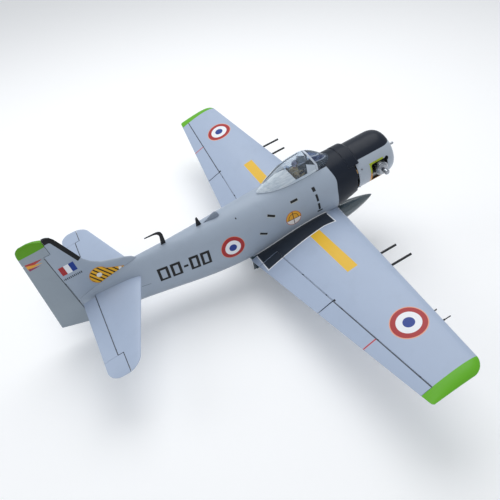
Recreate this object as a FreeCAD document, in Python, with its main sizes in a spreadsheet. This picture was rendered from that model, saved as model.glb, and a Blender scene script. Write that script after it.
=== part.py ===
import FreeCAD, Part
import math
import os
import Sketcher
from FreeCAD import Vector, Placement, Rotation

# Radio-controlled scale attack aeroplane, 1.8 m span, millimetres.
# Everything is drawn about the airframe datum: +X forward, +Y to port (left), +Z up.
# Each piece's Placement then carries it into the ground stance: wheels on z = 0, nose up.

doc = FreeCAD.newDocument("aeroplane")
sheet = doc.addObject("Spreadsheet::Sheet", "Params")
CELLS = [
    # stance of the whole model on its wheels
    ("ground_x", 365.8), ("ground_z", 228.64), ("stance_deg", 10.657),
    # wing planform: leading and trailing edge x = root + slope * |y|
    ("wing_le_root", 45.0), ("wing_le_slope", -0.11),
    ("wing_te_root", -350.0), ("wing_te_slope", 0.14),
    ("wing_le_z", -28.0), ("wing_dihedral", 0.092), ("wing_incidence", 0.0963),
    ("wing_tip_start", 862.0), ("wing_half_span", 899.0), ("wing_skin", 1.5),
    ("hinge_root", -265.0), ("hinge_slope", 0.08),
    ("flap_in", 108.0), ("flap_out", 441.5), ("aileron_in", 445.5), ("aileron_out", 860.5),
    ("surface_gap", 0.5), ("aileron_gap", 1.0), ("flap_gap", 1.2),
    # tailplane
    ("stab_z", 118.0), ("stab_le_root", -705.0), ("stab_le_slope", -0.336),
    ("stab_te", -927.5), ("stab_hinge", -881.0), ("stab_half_span", 381.0),
    ("horn_x", -863.0), ("horn_y", 303.0),
    # fuselage and cowl
    ("shell_wall", 2.0),
    ("cowl_r", 88.0), ("cowl_rear_x", 134.0), ("cowl_front_x", 300.0),
    ("cowl_wall", 1.6), ("inlet_r", 60.0),
    # engine and its mounting
    ("thrust_z", 74.0), ("firewall_x", 96.0), ("firewall_t", 6.0),
    ("shaft_r", 5.0), ("shaft_tip_x", 348.0), ("driver_r", 15.0),
    ("case_r", 26.0), ("case_len", 86.0), ("standoff_r", 6.0), ("standoff_len", 58.0),
    ("fin_r", 26.0), ("barrel_r", 20.0), ("fin_pitch", 5.0), ("fin_thick", 2.2),
    # wing joiner and tail tube
    ("joiner_r", 10.0), ("joiner_half", 224.0), ("joiner_x", -52.0), ("joiner_z", -20.0),
    ("tail_tube_r", 5.0), ("tail_tube_half", 150.0), ("tail_tube_x", -800.0),
    # undercarriage
    ("gear_x", -10.0), ("gear_y", 250.0), ("gear_z", -16.0), ("leg_len", 170.0),
    ("leg_r", 5.0), ("wheel_r", 44.0), ("tyre_w", 22.0), ("hub_r", 25.0),
    ("wheel_off", 18.0), ("axle_r", 2.5), ("run_gap", 0.05),
    ("tail_x", -830.0), ("tail_axle_x", -852.0), ("tail_axle_z", -54.0),
    ("tail_wheel_r", 18.0), ("tail_tyre_w", 9.0),
    # external stores and equipment
    ("tank_r", 38.0), ("tank_z", -116.0), ("tank_nose", 231.0), ("tank_tail", -328.0),
    ("tank_fin_r", 50.0), ("gun_r", 4.0),
    ("servo_len", 32.0), ("servo_wide", 16.0), ("servo_tall", 30.0),
    ("cell_len", 70.0), ("cell_wide", 36.0), ("cell_tall", 24.0),
    ("fuel_r", 33.0), ("fuel_len", 96.0),
]
for row, (name, value) in enumerate(CELLS, start=1):
    sheet.set("A%d" % row, name)
    sheet.set("B%d" % row, str(value))
    sheet.setAlias("B%d" % row, name)
doc.recompute()


class Sizes:
    """The sheet's cells, read by alias."""

    def __getattr__(self, alias):
        return float(sheet.get(alias))


size = Sizes()
FORWARD, PORT, UP = Vector(1, 0, 0), Vector(0, 1, 0), Vector(0, 0, 1)
ALONG_X = Rotation(PORT, 90)             # local +Z to +X
ALONG_Y = Rotation(FORWARD, -90)         # local +Z to +Y
TO_RIGHT = Rotation(UP, Vector(0, -1, 0))
SIDES = ((1, "left"), (-1, "right"))
STANCE = Placement(Vector(size.ground_x, 0, size.ground_z), Rotation(PORT, -size.stance_deg))
parts = {}          # node name: object


# ---------------------------------------------------------------- document helpers
def node(obj, label, local=None):
    """Register a finished piece and carry it into the ground stance."""
    obj.Label = label
    if local is None:
        obj.Placement = STANCE
        obj.setExpression("Placement.Base.x", "Params.ground_x")
        obj.setExpression("Placement.Base.z", "Params.ground_z")
    else:
        obj.Placement = STANCE.multiply(local)
    parts[label] = obj


def tidy(shape):
    """The one solid inside a shape, or a compound of its solids."""
    solids = shape.Solids
    return solids[0] if len(solids) == 1 else Part.makeCompound(solids)


def feature(label, shape):
    obj = doc.addObject("Part::Feature", label)
    obj.Shape = tidy(shape)
    node(obj, label)


def at(x, y, z, turn=Rotation()):
    return Placement(Vector(x, y, z), turn)


def primitive(kind, label, placement, **sizes):
    """An operand in the datum frame. Text sizes are expressions on the sheet."""
    obj = doc.addObject("Part::" + kind, label)
    for key, value in sizes.items():
        if isinstance(value, str):
            obj.setExpression(key, value)
        else:
            setattr(obj, key, value)
    obj.Placement = placement
    return obj


def doc_box(label, length, width, height, placement=Placement()):
    return primitive("Box", label, placement, Length=length, Width=width, Height=height)


def doc_rod(label, radius, height, placement):
    return primitive("Cylinder", label, placement, Radius=radius, Height=height)


def fuse(label, objs):
    obj = doc.addObject("Part::MultiFuse", label)
    obj.Shapes = objs
    return obj


def group(label, objs):
    obj = doc.addObject("Part::Compound", label)
    obj.Links = objs
    return obj


def cut(label, base, tool):
    obj = doc.addObject("Part::Cut", label)
    obj.Base, obj.Tool = base, tool
    return obj


def fillet(label, base, radius, chosen):
    """Round those edges of base for which chosen(edge) is true."""
    obj = doc.addObject("Part::Fillet", label)
    obj.Base = base
    obj.Edges = [(i, radius, radius) for i, edge in enumerate(base.Shape.Edges, 1) if chosen(edge)]
    return obj


def sketch(body, label, plane="XZ_Plane"):
    new = body.newObject("Sketcher::SketchObject", label)
    support = next(f for f in body.Origin.OriginFeatures if f.Role == plane)
    new.AttachmentSupport = [(support, "")]
    new.MapMode = "FlatFace"
    return new


def circle_in(target, radius_expr, x=0.0, y=0.0):
    circle = target.addGeometry(Part.Circle(Vector(x, y, 0), UP, 5.0), False)
    target.addConstraint(Sketcher.Constraint("Radius", circle, 5.0))
    target.setExpression("Constraints[%d]" % (target.ConstraintCount - 1), radius_expr)
    if x or y:
        target.addConstraint(Sketcher.Constraint("DistanceX", -1, 1, circle, 3, x))
        target.addConstraint(Sketcher.Constraint("DistanceY", -1, 1, circle, 3, y))
    else:
        target.addConstraint(Sketcher.Constraint("Coincident", circle, 3, -1, 1))


def revolved(label, points):
    """A turned part about local Z: points are (radius, length along the axis)."""
    body = doc.addObject("PartDesign::Body", label)
    profile = sketch(body, label + "_profile")
    for start, end in zip(points, points[1:] + points[:1]):
        profile.addGeometry(Part.LineSegment(Vector(*start, 0), Vector(*end, 0)), False)
    turned = body.newObject("PartDesign::Revolution", label + "_turned")
    turned.Profile = profile
    turned.ReferenceAxis = (profile, ["V_Axis"])
    turned.Angle = 360.0
    doc.recompute()
    return body


# ---------------------------------------------------------------- shape helpers
def box(length, width, height, x, y, z, side=1):
    """Box from its low corner; side -1 mirrors it across the centre plane."""
    shape = Part.makeBox(length, width, height)
    shape.translate(Vector(x, min(side * y, side * (y + width)), z))
    return shape


def centred_rod(radius, length, centre, axis=PORT):
    return Part.makeCylinder(radius, length, centre - axis * (length / 2), axis)


def line(start, end):
    return Part.LineSegment(start, end).toShape()


def spline(points, periodic=False):
    curve = Part.BSplineCurve()
    curve.interpolate(Points=points, PeriodicFlag=periodic)
    return curve.toShape()


def outline(points):
    return Part.Wire(Part.makePolygon(points + points[:1]))


def loft(wires, ruled=True):
    return Part.makeLoft(wires, True, ruled)


def plan_prism(points, low, high):
    """Prism of an (x, y) outline from z = low to high."""
    face = Part.Face(outline([Vector(x, y, low) for x, y in points]))
    return face.extrude(Vector(0, 0, high - low))


def side_prism(points, half_width, y=0.0):
    """Prism of an (x, z) outline, half_width either side of y."""
    face = Part.Face(outline([Vector(x, y - half_width, z) for x, z in points]))
    return face.extrude(Vector(0, 2 * half_width, 0))


# ---------------------------------------------------------------- fuselage form
# x, top z, bottom z, half width, z of the greatest width, exponent
FUSELAGE = [
    (126, 167.0, -22.0, 94.5, 73, 2.00), (100, 168.0, -30.0, 96.5, 72, 2.05),
    (60, 168.5, -39.5, 98.5, 70, 2.10), (20, 168.5, -46.0, 99.5, 68, 2.15),
    (-40, 168.0, -54.0, 97.0, 65, 2.20), (-100, 168.0, -60.0, 92.0, 62, 2.20),
    (-180, 168.0, -66.0, 87.0, 59, 2.20), (-260, 168.0, -69.0, 84.0, 57, 2.20),
    (-350, 167.0, -69.0, 80.0, 56, 2.15), (-440, 165.5, -63.5, 75.0, 57, 2.10),
    (-520, 165.5, -53.0, 67.0, 61, 2.05), (-600, 168.0, -38.0, 57.0, 67, 2.00),
    (-680, 172.0, -22.5, 46.5, 74, 1.95), (-760, 172.0, -8.0, 35.5, 81, 1.90),
    (-840, 163.0, 5.0, 24.5, 86, 1.85), (-900, 150.0, 15.0, 15.5, 90, 1.85),
    (-925.5, 142.5, 19.0, 12.0, 92, 1.85),
]


def fuselage_at(x):
    """Section numbers at any x: the table joined by smooth cubics, held at its ends."""
    last = len(FUSELAGE) - 1
    if x >= FUSELAGE[0][0]:
        return FUSELAGE[0]
    if x <= FUSELAGE[last][0]:
        return FUSELAGE[last]
    i = next(i for i in range(last) if FUSELAGE[i][0] >= x >= FUSELAGE[i + 1][0])
    near, far = FUSELAGE[i], FUSELAGE[i + 1]
    run = far[0] - near[0]
    t = (x - near[0]) / run

    def slope(j, column):
        before, after = FUSELAGE[max(j - 1, 0)], FUSELAGE[min(j + 1, last)]
        return (after[column] - before[column]) / (after[0] - before[0])

    section = [x]
    for k in range(1, 6):
        section.append((2 * t**3 - 3 * t**2 + 1) * near[k]
                       + (t**3 - 2 * t**2 + t) * slope(i, k) * run
                       + (-2 * t**3 + 3 * t**2) * far[k]
                       + (t**3 - t**2) * slope(i + 1, k) * run)
    return section


def signed_power(value, power):
    return math.copysign(abs(value) ** power, value)


def fuselage_wire(x, offset, count=32):
    """Superellipse section, its lower and upper halves of different height."""
    _, top, bottom, half_width, wide_z, power = fuselage_at(x)
    top, bottom, half_width = top + offset, bottom - offset, half_width + offset
    points = []
    for i in range(count):
        angle = -math.pi / 2 + 2 * math.pi * i / count
        cosine, sine = math.cos(angle), math.sin(angle)
        height = (top - wide_z) if sine >= 0 else (wide_z - bottom)
        points.append(Vector(x, half_width * signed_power(cosine, 2.0 / power),
                             wide_z + height * signed_power(sine, 2.0 / power)))
    return Part.Wire(spline(points, True))


def fuselage_loft(stations, offset=0.0):
    return loft([fuselage_wire(x, offset) for x in stations], ruled=False)


wall = size.shell_wall
stations = [section[0] for section in FUSELAGE]
fuselage_outer = fuselage_loft(stations)
fuselage_clear = fuselage_loft([140] + stations[1:], 0.5)       # trims what meets the shell
fuselage_inner = fuselage_loft([135] + stations[1:-1] + [-921], -wall)


# ---------------------------------------------------------------- lifting surfaces
def half_thickness(s, ratio):
    return 5 * ratio * (0.2969 * math.sqrt(s) - 0.1260 * s - 0.3516 * s**2
                        + 0.2843 * s**3 - 0.1015 * s**4)


def camber_line(s, height, peak=0.4):
    if s < peak:
        return height / peak**2 * (2 * peak * s - s * s)
    return height / (1 - peak) ** 2 * (1 - 2 * peak + 2 * peak * s - s * s)


gap = size.surface_gap


class Surface:
    """A lifting surface. lead, trail, thick (share of chord), base and hinge are functions
    of the span position; an upright surface spans along Z instead of Y."""

    def __init__(self, lead, trail, thick, base, hinge,
                 incidence=0.0, camber=0.0, upright=False, edge_half=0.7):
        self.lead, self.trail, self.thick = lead, trail, thick
        self.base, self.hinge = base, hinge
        self.incidence, self.camber = incidence, camber
        self.upright, self.edge_half = upright, edge_half

    def limits(self, span, x):
        """Upper and lower skin heights at x."""
        lead = self.lead(span)
        chord = lead - self.trail(span)
        s = min(max((lead - x) / chord, 0.0), 1.0)
        centre = (self.base(span) - self.incidence * (lead - x)
                  + camber_line(s, self.camber) * chord)
        half = max(half_thickness(s, self.thick(span)) * chord, 0.0) + self.edge_half * s
        return centre + half, centre - half

    def mid(self, span, x):
        """Middle height and half thickness at x."""
        upper, lower = self.limits(span, x)
        return (upper + lower) / 2, (upper - lower) / 2

    def vec(self, x, span, z):
        return Vector(x, z, span) if self.upright else Vector(x, span, z)

    def pivot(self, span, side=1):
        """Point on the hinge line and the half thickness there."""
        z, radius = self.mid(span, self.hinge(span))
        return self.vec(self.hinge(span), side * span, z), radius

    def skins(self, span, side, xs, inset=0.0):
        """Upper points along xs (rear to front) and lower points back again."""
        upper = [self.vec(x, side * span, self.limits(span, x)[0] - inset) for x in xs]
        lower = [self.vec(x, side * span, self.limits(span, x)[1] + inset)
                 for x in reversed(xs)]
        return upper, lower

    def wire(self, span, side=1, count=18):
        """Whole section."""
        lead, trail = self.lead(span), self.trail(span)
        xs = [lead + (trail - lead) * (1 - math.cos(math.pi * i / count)) / 2
              for i in range(count + 1)]
        upper, lower = self.skins(span, side, xs[::-1])
        return Part.Wire([spline(upper + lower[1:]), line(lower[-1], upper[0])])

    def inner_wire(self, span, rear, skin, side, count=12):
        """Section of the hollow inside the skin, closed at x = rear."""
        front = self.lead(span) - skin * 2.2
        xs = [front + (rear - front) * (1 - math.cos(math.pi / 2 * i / count))
              for i in range(count + 1)]
        upper, lower = self.skins(span, side, xs[::-1], skin)
        return Part.Wire([spline(upper), line(upper[-1], lower[0]),
                          spline(lower), line(lower[-1], upper[0])])

    def rear_wire(self, span, side=1, front=None, count=9):
        """Moving section: round nose about the hinge, or a flat nose at x = front."""
        trail = self.trail(span)
        start = self.hinge(span) if front is None else front
        xs = [trail + (start - trail) * (i / count) for i in range(count + 1)]
        upper, lower = self.skins(span, side, xs)
        if front is None:
            centre, radius = self.pivot(span, side)
            nose = Part.Arc(upper[-1], centre + FORWARD * radius, lower[0]).toShape()
        else:
            nose = line(upper[-1], lower[0])
        return Part.Wire([spline(upper), nose, spline(lower), line(lower[-1], upper[0])])

    def web_wire(self, span, side=1):
        """Section set just under the skin, from the hinge back."""
        front, rear = self.hinge(span), self.trail(span) + 5
        front_half = self.mid(span, front)[1] - 0.35
        rear_half = self.mid(span, rear)[1] - 0.35
        corners = ((front, front_half), (rear, rear_half), (rear, -rear_half), (front, -front_half))
        return outline([self.vec(x, side * span, self.base(span) + z) for x, z in corners])

    def moving(self, start, end, side=1):
        return loft([self.rear_wire(start, side), self.rear_wire(end, side)])

    def nose_tool(self, start, end, side, extra):
        """Tapered round cutter about the hinge line."""
        def disc(span):
            centre, radius = self.pivot(span, side)
            return Part.Wire(Part.Circle(centre, self.vec(0, 1, 0), radius + extra).toShape())
        return loft([disc(start), disc(end)])

    def hinge_direction(self, start, end, side=1):
        direction = self.pivot(end, side)[0] - self.pivot(start, side)[0]
        direction.normalize()
        return direction

    def block_ahead(self, centre, length, wide, thick):
        """Box running forward from centre, wide along the span."""
        extent = self.vec(length, wide, thick)
        return box(extent.x, extent.y, extent.z,
                   centre.x, centre.y - extent.y / 2, centre.z - extent.z / 2)


leaves, pins = [], []


def fit_hinge(surface, side, span, axis, mover, fixed, reach=9.0, slot_wide=6.2):
    """Add one leaf and pin; slot the mover, pocket the fixed part. Returns both and the pocket."""
    centre, radius = surface.pivot(span, side)
    slot = centred_rod(3.0, slot_wide, centre, axis)
    ahead = surface.block_ahead(centre, radius + 6, slot_wide, 2 * radius + 4)
    mover = mover.cut(slot.fuse([ahead, centred_rod(0.80, 12.4, centre, axis)]))
    length = radius + gap + reach
    leaf = surface.block_ahead(centre, length, 5.0, 1.6)
    leaf = leaf.fuse(centred_rod(2.2, 5.0, centre, axis))
    leaves.append(leaf.cut(centred_rod(0.76, 8, centre, axis)))
    pins.append(centred_rod(0.75, 11.0, centre, axis))
    pocket = surface.block_ahead(centre, length + 0.1, 5.2, 1.8)
    return mover, fixed.cut(pocket), pocket


def corner(span, start, radius):
    """How far an edge draws in on a corner radius outboard of start."""
    return 0 if span < start else radius - math.sqrt(max(radius**2 - (span - start) ** 2, 0))


def tip_round(ratio, span, start, run):
    """Thickness ratio, rounded off to the tip beyond start."""
    if span <= start:
        return ratio
    share = min((span - start) / run, 0.9995)
    return ratio * math.sqrt(1 - share * share)


# ---------------------------------------------------------------- wing
tip_start, half_span, skin = size.wing_tip_start, size.wing_half_span, size.wing_skin
flap_in, flap_out = size.flap_in, size.flap_out
aileron_in, aileron_out = size.aileron_in, size.aileron_out
gear_x, gear_y, gear_z = size.gear_x, size.gear_y, size.gear_z
leg, wheel_off, wheel_r, tyre_w = size.leg_len, size.wheel_off, size.wheel_r, size.tyre_w

SERVO_X, SERVO_SPANS = -150, (330, 710)
GUNS = ((379.5, 63.0), (447.3, 71.0))        # span position, muzzle x
RIB_SPANS = (112, 178, 365, 420, 540, 620, 760, 840)
# name, inner end, outer end, share of span at the control horn, hinge slot width
WING_SURFACES = (
    ("aileron", aileron_in, aileron_out, 0.62, 6.2),
    ("flap", flap_in, flap_out, 0.45, 7.6),
)


def wing_straight_lead(span):
    return size.wing_le_root + size.wing_le_slope * span


def wing_lead(span):
    return wing_straight_lead(span) - corner(span, half_span - 43, 43.5)


def wing_trail(span):
    return size.wing_te_root + size.wing_te_slope * span + corner(span, half_span - 9, 10)


def wing_base(span):       # the chord line follows the straight leading edge, not the corner
    return (size.wing_le_z + size.wing_dihedral * span
            - size.wing_incidence * (wing_straight_lead(span) - wing_lead(span)))


wing = Surface(
    wing_lead, wing_trail,
    lambda span: tip_round(0.150 - 0.022 * span / half_span, span, half_span - 40, 40.6),
    wing_base, lambda span: size.hinge_root + size.hinge_slope * span,
    incidence=size.wing_incidence, camber=0.018)


def wing_hollow(side, rear_extra=0.0, skin_extra=0.0):
    """Hollow of the built-up panel, closed by a spar ahead of the hinge line."""
    def section(span):
        rear = wing.hinge(span) + wing.pivot(span)[1] + gap + 2.6
        return wing.inner_wire(span, rear + rear_extra, skin + skin_extra, side)
    return loft([section(50), section(tip_start - 6)])


def wing_blank(side):
    """Outer form of a panel, hollowed except for walls round the gear bays."""
    main = loft([wing.wire(55, side), wing.wire(tip_start, side)])
    tip = loft([wing.wire(tip_start + (half_span - 0.2 - tip_start) * k, side)
                for k in (0, 0.26, 0.48, 0.68, 0.84, 0.94, 1.0)], ruled=False)
    low = gear_z - 60
    keep_wheel = Part.makeCylinder(wheel_r + 7, 120, Vector(gear_x - leg, side * gear_y, low))
    keep_leg = box(leg + 18, 33, 120, gear_x - leg, gear_y - 16.5, low, side)
    keep_pivot = box(40, 46, 120, gear_x - 20, gear_y - 23, low, side)
    keep_links = box(62, 18, 120, gear_x - leg + 14, gear_y + 13, low, side)
    keep = keep_wheel.fuse([keep_leg, keep_pivot, keep_links])
    return main.fuse(tip).cut(wing_hollow(side).cut(keep))


def cut_surface_bay(panel, side):
    """Clear the space of flap and aileron, and the round noses at their hinges."""
    start, joint, end = flap_in - 3, (flap_out + aileron_in) / 2, aileron_out + 1
    panel = panel.cut(plan_prism([(wing.hinge(start), side * start), (wing.hinge(end), side * end),
                                  (-420, side * end), (-420, side * start)], -200, 200))
    panel = panel.cut(wing.nose_tool(start, joint, side, size.flap_gap))
    return panel.cut(wing.nose_tool(joint, end, side, size.aileron_gap))


def cut_gear_bay(panel, side):
    """Wheel well, leg slot, link relief and pivot bay, all open below."""
    low = gear_z - 60
    well = Part.makeCylinder(wheel_r + 4, 60, Vector(gear_x - leg, side * gear_y,
                                                     low - wheel_off + tyre_w / 2 + 2))
    slot = box(leg + 22.5, 27, 60, gear_x - leg - 10.5, gear_y - 13.5, low + 9, side)
    # the torque links lie outboard once the leg has turned
    relief = box(54, 15, 60, gear_x - leg + 18, gear_y + 13, low + 7, side)
    panel = panel.cut(well.fuse([slot, relief]))
    return panel.cut(box(34, 40, 60, gear_x - 17, gear_y - 20, low + 12, side))


def wing_rib(blank, side, span):
    rib = blank.common(box(520, 3, 300, -430, span - 1.5, -150, side))
    if span < 240:
        joiner = Vector(size.joiner_x, side * span, size.joiner_z)
        rib = rib.cut(centred_rod(size.joiner_r + 0.05, 60, joiner))
    for x in (-100, -150, -195):        # lightening holes
        z, half = wing.mid(span, x)
        if half > 8 and wing.lead(span) - 20 > x > wing.hinge(span) + 30:
            rib = rib.cut(centred_rod(half * 0.55, 20, Vector(x, side * span, z)))
    return rib


def control_horn(centre, radius):
    """Flat tapered arm below the nose of a moving surface."""
    x, low = centre.x, centre.z - radius
    arm = side_prism([(x - 12, low + 3), (x + 1, low + 3), (x + 2.5, low - 17), (x - 3, low - 17)],
                     0.8, centre.y)
    return arm.cut(centred_rod(0.9, 6, Vector(x - 0.2, centre.y, low - 14)))


ribs = []
for side, tag in SIDES:
    panel = cut_gear_bay(cut_surface_bay(wing_blank(side), side), side)
    for span in SERVO_SPANS:
        panel = panel.cut(box(34, 17.4, 30, SERVO_X - 17, span - 8.7,
                              wing.mid(span, SERVO_X)[0] - 30, side))
    for span, _ in GUNS:
        root = Vector(wing.lead(span) - 16, side * span, wing.base(span) + 0.6)
        panel = panel.cut(Part.makeCylinder(size.gun_r + 0.03, 60, root, FORWARD))
    panel = tidy(panel.cut(fuselage_clear))
    rib_blank = wing_hollow(side, 0.4, 0.15)
    ribs += [wing_rib(rib_blank, side, span) for span in RIB_SPANS]
    for name, start, end, horn_share, slot_wide in WING_SURFACES:
        piece = wing.moving(start, end, side)
        axis = wing.hinge_direction(start, end, side)
        for share in (0.1, 0.5, 0.9):
            piece, panel, _ = fit_hinge(wing, side, start + (end - start) * share, axis,
                                        piece, panel, slot_wide=slot_wide)
        horn_span = start + (end - start) * horn_share
        centre, radius = wing.pivot(horn_span, side)
        piece = piece.fuse(control_horn(centre, radius))
        if name == "flap":
            # the lower lip of the wing is notched where the horn swings forward
            panel = panel.cut(box(radius + 9, 9.0, radius + 8, centre.x - 1,
                                  horn_span - 4.5, centre.z - radius - 8, side))
        feature("%s_%s" % (name, tag), piece)
    feature("wing_panel_" + tag, panel)
feature("wing_ribs", Part.makeCompound(ribs))

# ---------------------------------------------------------------- tailplane
stab_z, stab_hinge_x = size.stab_z, size.stab_hinge
horn_x, horn_y = size.horn_x, size.horn_y
STAB_CORNER = 341       # span position where the tip curve begins

stab = Surface(
    lambda span: size.stab_le_root + size.stab_le_slope * span - corner(span, STAB_CORNER, 41),
    lambda span: size.stab_te + corner(span, STAB_CORNER, 40),
    lambda span: tip_round(0.085, span, 355, size.stab_half_span + 0.6 - 355),
    lambda span: stab_z, lambda span: stab_hinge_x, edge_half=0.6)


def tailplane_half(side, tag):
    def behind(x, inner, outer):
        """Everything aft of x between two span positions."""
        return plan_prism([(x, side * inner), (x, side * outer),
                           (-990, side * outer), (-990, side * inner)], 60, 180)

    main = loft([stab.wire(8, side), stab.wire(STAB_CORNER, side)])
    tip = loft([stab.wire(span, side) for span in (STAB_CORNER, 351, 360, 368, 374, 378, 380.8)],
               ruled=False)
    full = main.fuse(tip)
    fixed = full.cut(behind(stab_hinge_x, 2, horn_y + 1))
    fixed = fixed.cut(stab.nose_tool(4, horn_y + 1, side, gap))
    fixed = fixed.cut(behind(horn_x + 1.5, horn_y - 0.2, 400))
    tube_start = Vector(size.tail_tube_x, min(side * 0.01, side * 170), stab_z)
    fixed = fixed.cut(fuselage_clear)
    fixed = fixed.cut(Part.makeCylinder(size.tail_tube_r + 0.03, 170, tube_start, PORT))
    # a web under the skin joins the horn balance to the rest of the elevator
    web = loft([stab.web_wire(horn_y - 16, side), stab.web_wire(horn_y + 16, side)])
    elevator = stab.moving(24, horn_y + 0.6, side).fuse(web)
    elevator = elevator.fuse(full.common(behind(horn_x, horn_y + 1.8, 400)))
    for span in (70, 170, 280):
        elevator, fixed, _ = fit_hinge(stab, side, span, PORT, elevator, fixed, reach=8)
    rod_start = Vector(stab_hinge_x, min(side * 20, side * 62), stab_z)
    elevator = elevator.cut(Part.makeCylinder(2.0, 42, rod_start, PORT))
    feature("stabiliser_" + tag, fixed)
    feature("elevator_" + tag, elevator)


for side, tag in SIDES:
    tailplane_half(side, tag)

# ---------------------------------------------------------------- fin and rudder
# (z, x) of the fin's leading edge and the rudder's trailing edge
FIN_LEAD = [
    (100, -690), (172, -700), (186, -712), (199.5, -735), (212, -768), (228.5, -808),
    (250, -833), (271, -848), (320, -864.5), (360, -878), (385, -887), (398, -895), (403, -903),
]
RUDDER_TRAIL = [(26, -1040), (50, -1035), (200, -1022), (389, -1006)]
# (z, nose x) of the flat-nosed sections of the horn balance and its rounded crown
BALANCE = ((348, -920.0), (389, -920.0), (400, -920.0), (405, -930.0))
CROWN = ((405, -930.0), (410, -941.0), (413, -953.0), (414.4, -960.0))
FIN_RAKE = 0.0282       # hinge line's aft lean per unit of height


def interpolate(table, z):
    """Straight-line look-up, held at both ends."""
    if z <= table[0][0]:
        return table[0][1]
    for (z0, x0), (z1, x1) in zip(table, table[1:]):
        if z <= z1:
            return x0 + (x1 - x0) * (z - z0) / (z1 - z0)
    return table[-1][1]


def fin_lead(z):
    return interpolate(FIN_LEAD, z)


def rudder_trail(z):
    return interpolate(RUDDER_TRAIL, z) + corner(z, 389, 26) * 1.1


def fin_thick(z):       # share of the local chord that gives the wanted absolute thickness
    top = 1.0 if z < 385 else math.sqrt(max(1 - ((z - 385) / 33.5) ** 2, 0.02))
    return (21 - 7.5 * (z - 100) / 300) * top / (fin_lead(z) - rudder_trail(z))


def fin_hinge(z):
    return -934.5 - FIN_RAKE * (z - 94)


fin = Surface(fin_lead, rudder_trail, fin_thick, lambda z: 0.0, fin_hinge, upright=True)
# the rudder's foot runs down behind the tail post, below the fin
foot_form = Surface(lambda z: -690.0, rudder_trail, lambda z: 21.5 / (-690.0 - rudder_trail(z)),
                    lambda z: 0.0, fin_hinge, upright=True)

fin_fixed = loft([fin.wire(z) for z, _ in FIN_LEAD])
fin_fixed = fin_fixed.cut(side_prism([(fin_hinge(90), 90), (fin_hinge(347), 347),
                                      (-1060, 347), (-1060, 90)], 60))
fin_fixed = fin_fixed.cut(fin.nose_tool(96, 347, 1, gap))
fin_fixed = fin_fixed.cut(side_prism([(-918.5, 346.5), (-918.5, 430),
                                      (-1060, 430), (-1060, 346.5)], 60))
fin_fixed = fin_fixed.cut(fuselage_clear)

rudder_foot = loft([foot_form.rear_wire(12), foot_form.rear_wire(55), fin.rear_wire(100)])
rudder_foot = rudder_foot.cut(side_prism([(-1035.5, 50), (-927, 17.5), (-900, 17.5),
                                          (-900, -20), (-1100, -20), (-1100, 50)], 60))
balance_web = loft([fin.web_wire(338), fin.web_wire(355)])      # carries the horn balance
balance, crown = [loft([fin.rear_wire(z, front=x) for z, x in table])
                  for table in (BALANCE, CROWN)]
rudder = fin.moving(100, 345).fuse([rudder_foot, balance_web, balance, crown])
fin_axis = fin.hinge_direction(100, 340)
fin_pockets = []
for z in (125, 215, 305):
    rudder, fin_fixed, pocket = fit_hinge(fin, 1, z, fin_axis, rudder, fin_fixed, reach=8)
    fin_pockets.append(pocket)
feature("fin", fin_fixed)
feature("rudder", rudder)
feature("hinge_leaves", Part.makeCompound(leaves))
feature("hinge_pins", Part.makeCompound(pins))

# ---------------------------------------------------------------- fuselage shell
BOARD_Z = 73.0                              # centre of the firewall and collar
WING_BOLTS = ((-18, -30), (-230, -38))      # x, z


def collar_wire(x, outer, inner):
    start, end = math.radians(38), math.radians(142)

    def point(radius, angle):
        return Vector(x, radius * math.cos(angle), BOARD_Z + radius * math.sin(angle))

    def arc(radius, first, last):
        middle = point(radius, math.pi / 2)
        return Part.Arc(point(radius, first), middle, point(radius, last)).toShape()

    return Part.Wire([arc(outer, start, end), line(point(outer, end), point(inner, end)),
                      arc(inner, end, start), line(point(inner, start), point(outer, start))])


# raised collar over the top of the cowl's rear edge
collar = loft([collar_wire(102, 97.2, 92.6), collar_wire(140, 97.2, 90.6),
               collar_wire(147, 92.6, 90.0)])
shell = fuselage_outer.cut(fuselage_inner).fuse(collar)
shell = shell.cut(box(176, 60, 120, -150, -30, 120))        # cockpit opening
shell = shell.cut(centred_rod(size.joiner_r + 0.2, 400, Vector(size.joiner_x, 0, size.joiner_z)))
for x, z in WING_BOLTS:
    shell = shell.cut(centred_rod(3.1, 400, Vector(x, 0, z)))
shell = shell.cut(centred_rod(size.tail_tube_r + 0.03, 120, Vector(size.tail_tube_x, 0, stab_z)))
# slot for the elevator joiner and its travel
shell = shell.cut(box(26, 120, 22, stab_hinge_x - 13, -60, stab_z - 11))
for side, _ in SIDES:       # cooling exits low on each side behind the cowl
    shell = shell.cut(box(9, 30, 62, 121, 70, 20, side))
# clearance round the rudder's hinge line and leaves at the tail post
shell = shell.cut(Part.makeCylinder(9.4, 175, Vector(fin_hinge(0), 0, 0), Vector(-FIN_RAKE, 0, 1)))
for pocket in fin_pockets:
    shell = shell.cut(pocket)
feature("fuselage_shell", shell)


def former(x):
    """Plywood ring inside the shell, notched for the equipment tray."""
    _, top, bottom, half_width, _, _ = fuselage_at(x)
    disc = fuselage_loft([x + 30, x + 10, x - 10, x - 30], -wall - 0.3)
    disc = disc.common(box(4, 300, 400, x, -150, -150))
    disc = disc.cut(Part.makeCylinder(min(half_width, (top - bottom) / 2) - 22, 20,
                                      Vector(x - 8, 0, (top + bottom) / 2), FORWARD))
    return disc.cut(box(360, 88, 3.6, -352, -44, -36.3))


feature("fuselage_formers", Part.makeCompound([former(x) for x in (-240, -480, -720)]))

# ---------------------------------------------------------------- firewall board
thrust_z, cowl_r = size.thrust_z, size.cowl_r
ON_THRUST_LINE = at(0, 0, thrust_z, ALONG_X)
STANDOFF_OFFSET = 25.5
CORNERS = [(across, rise) for across in (1, -1) for rise in (1, -1)]

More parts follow.
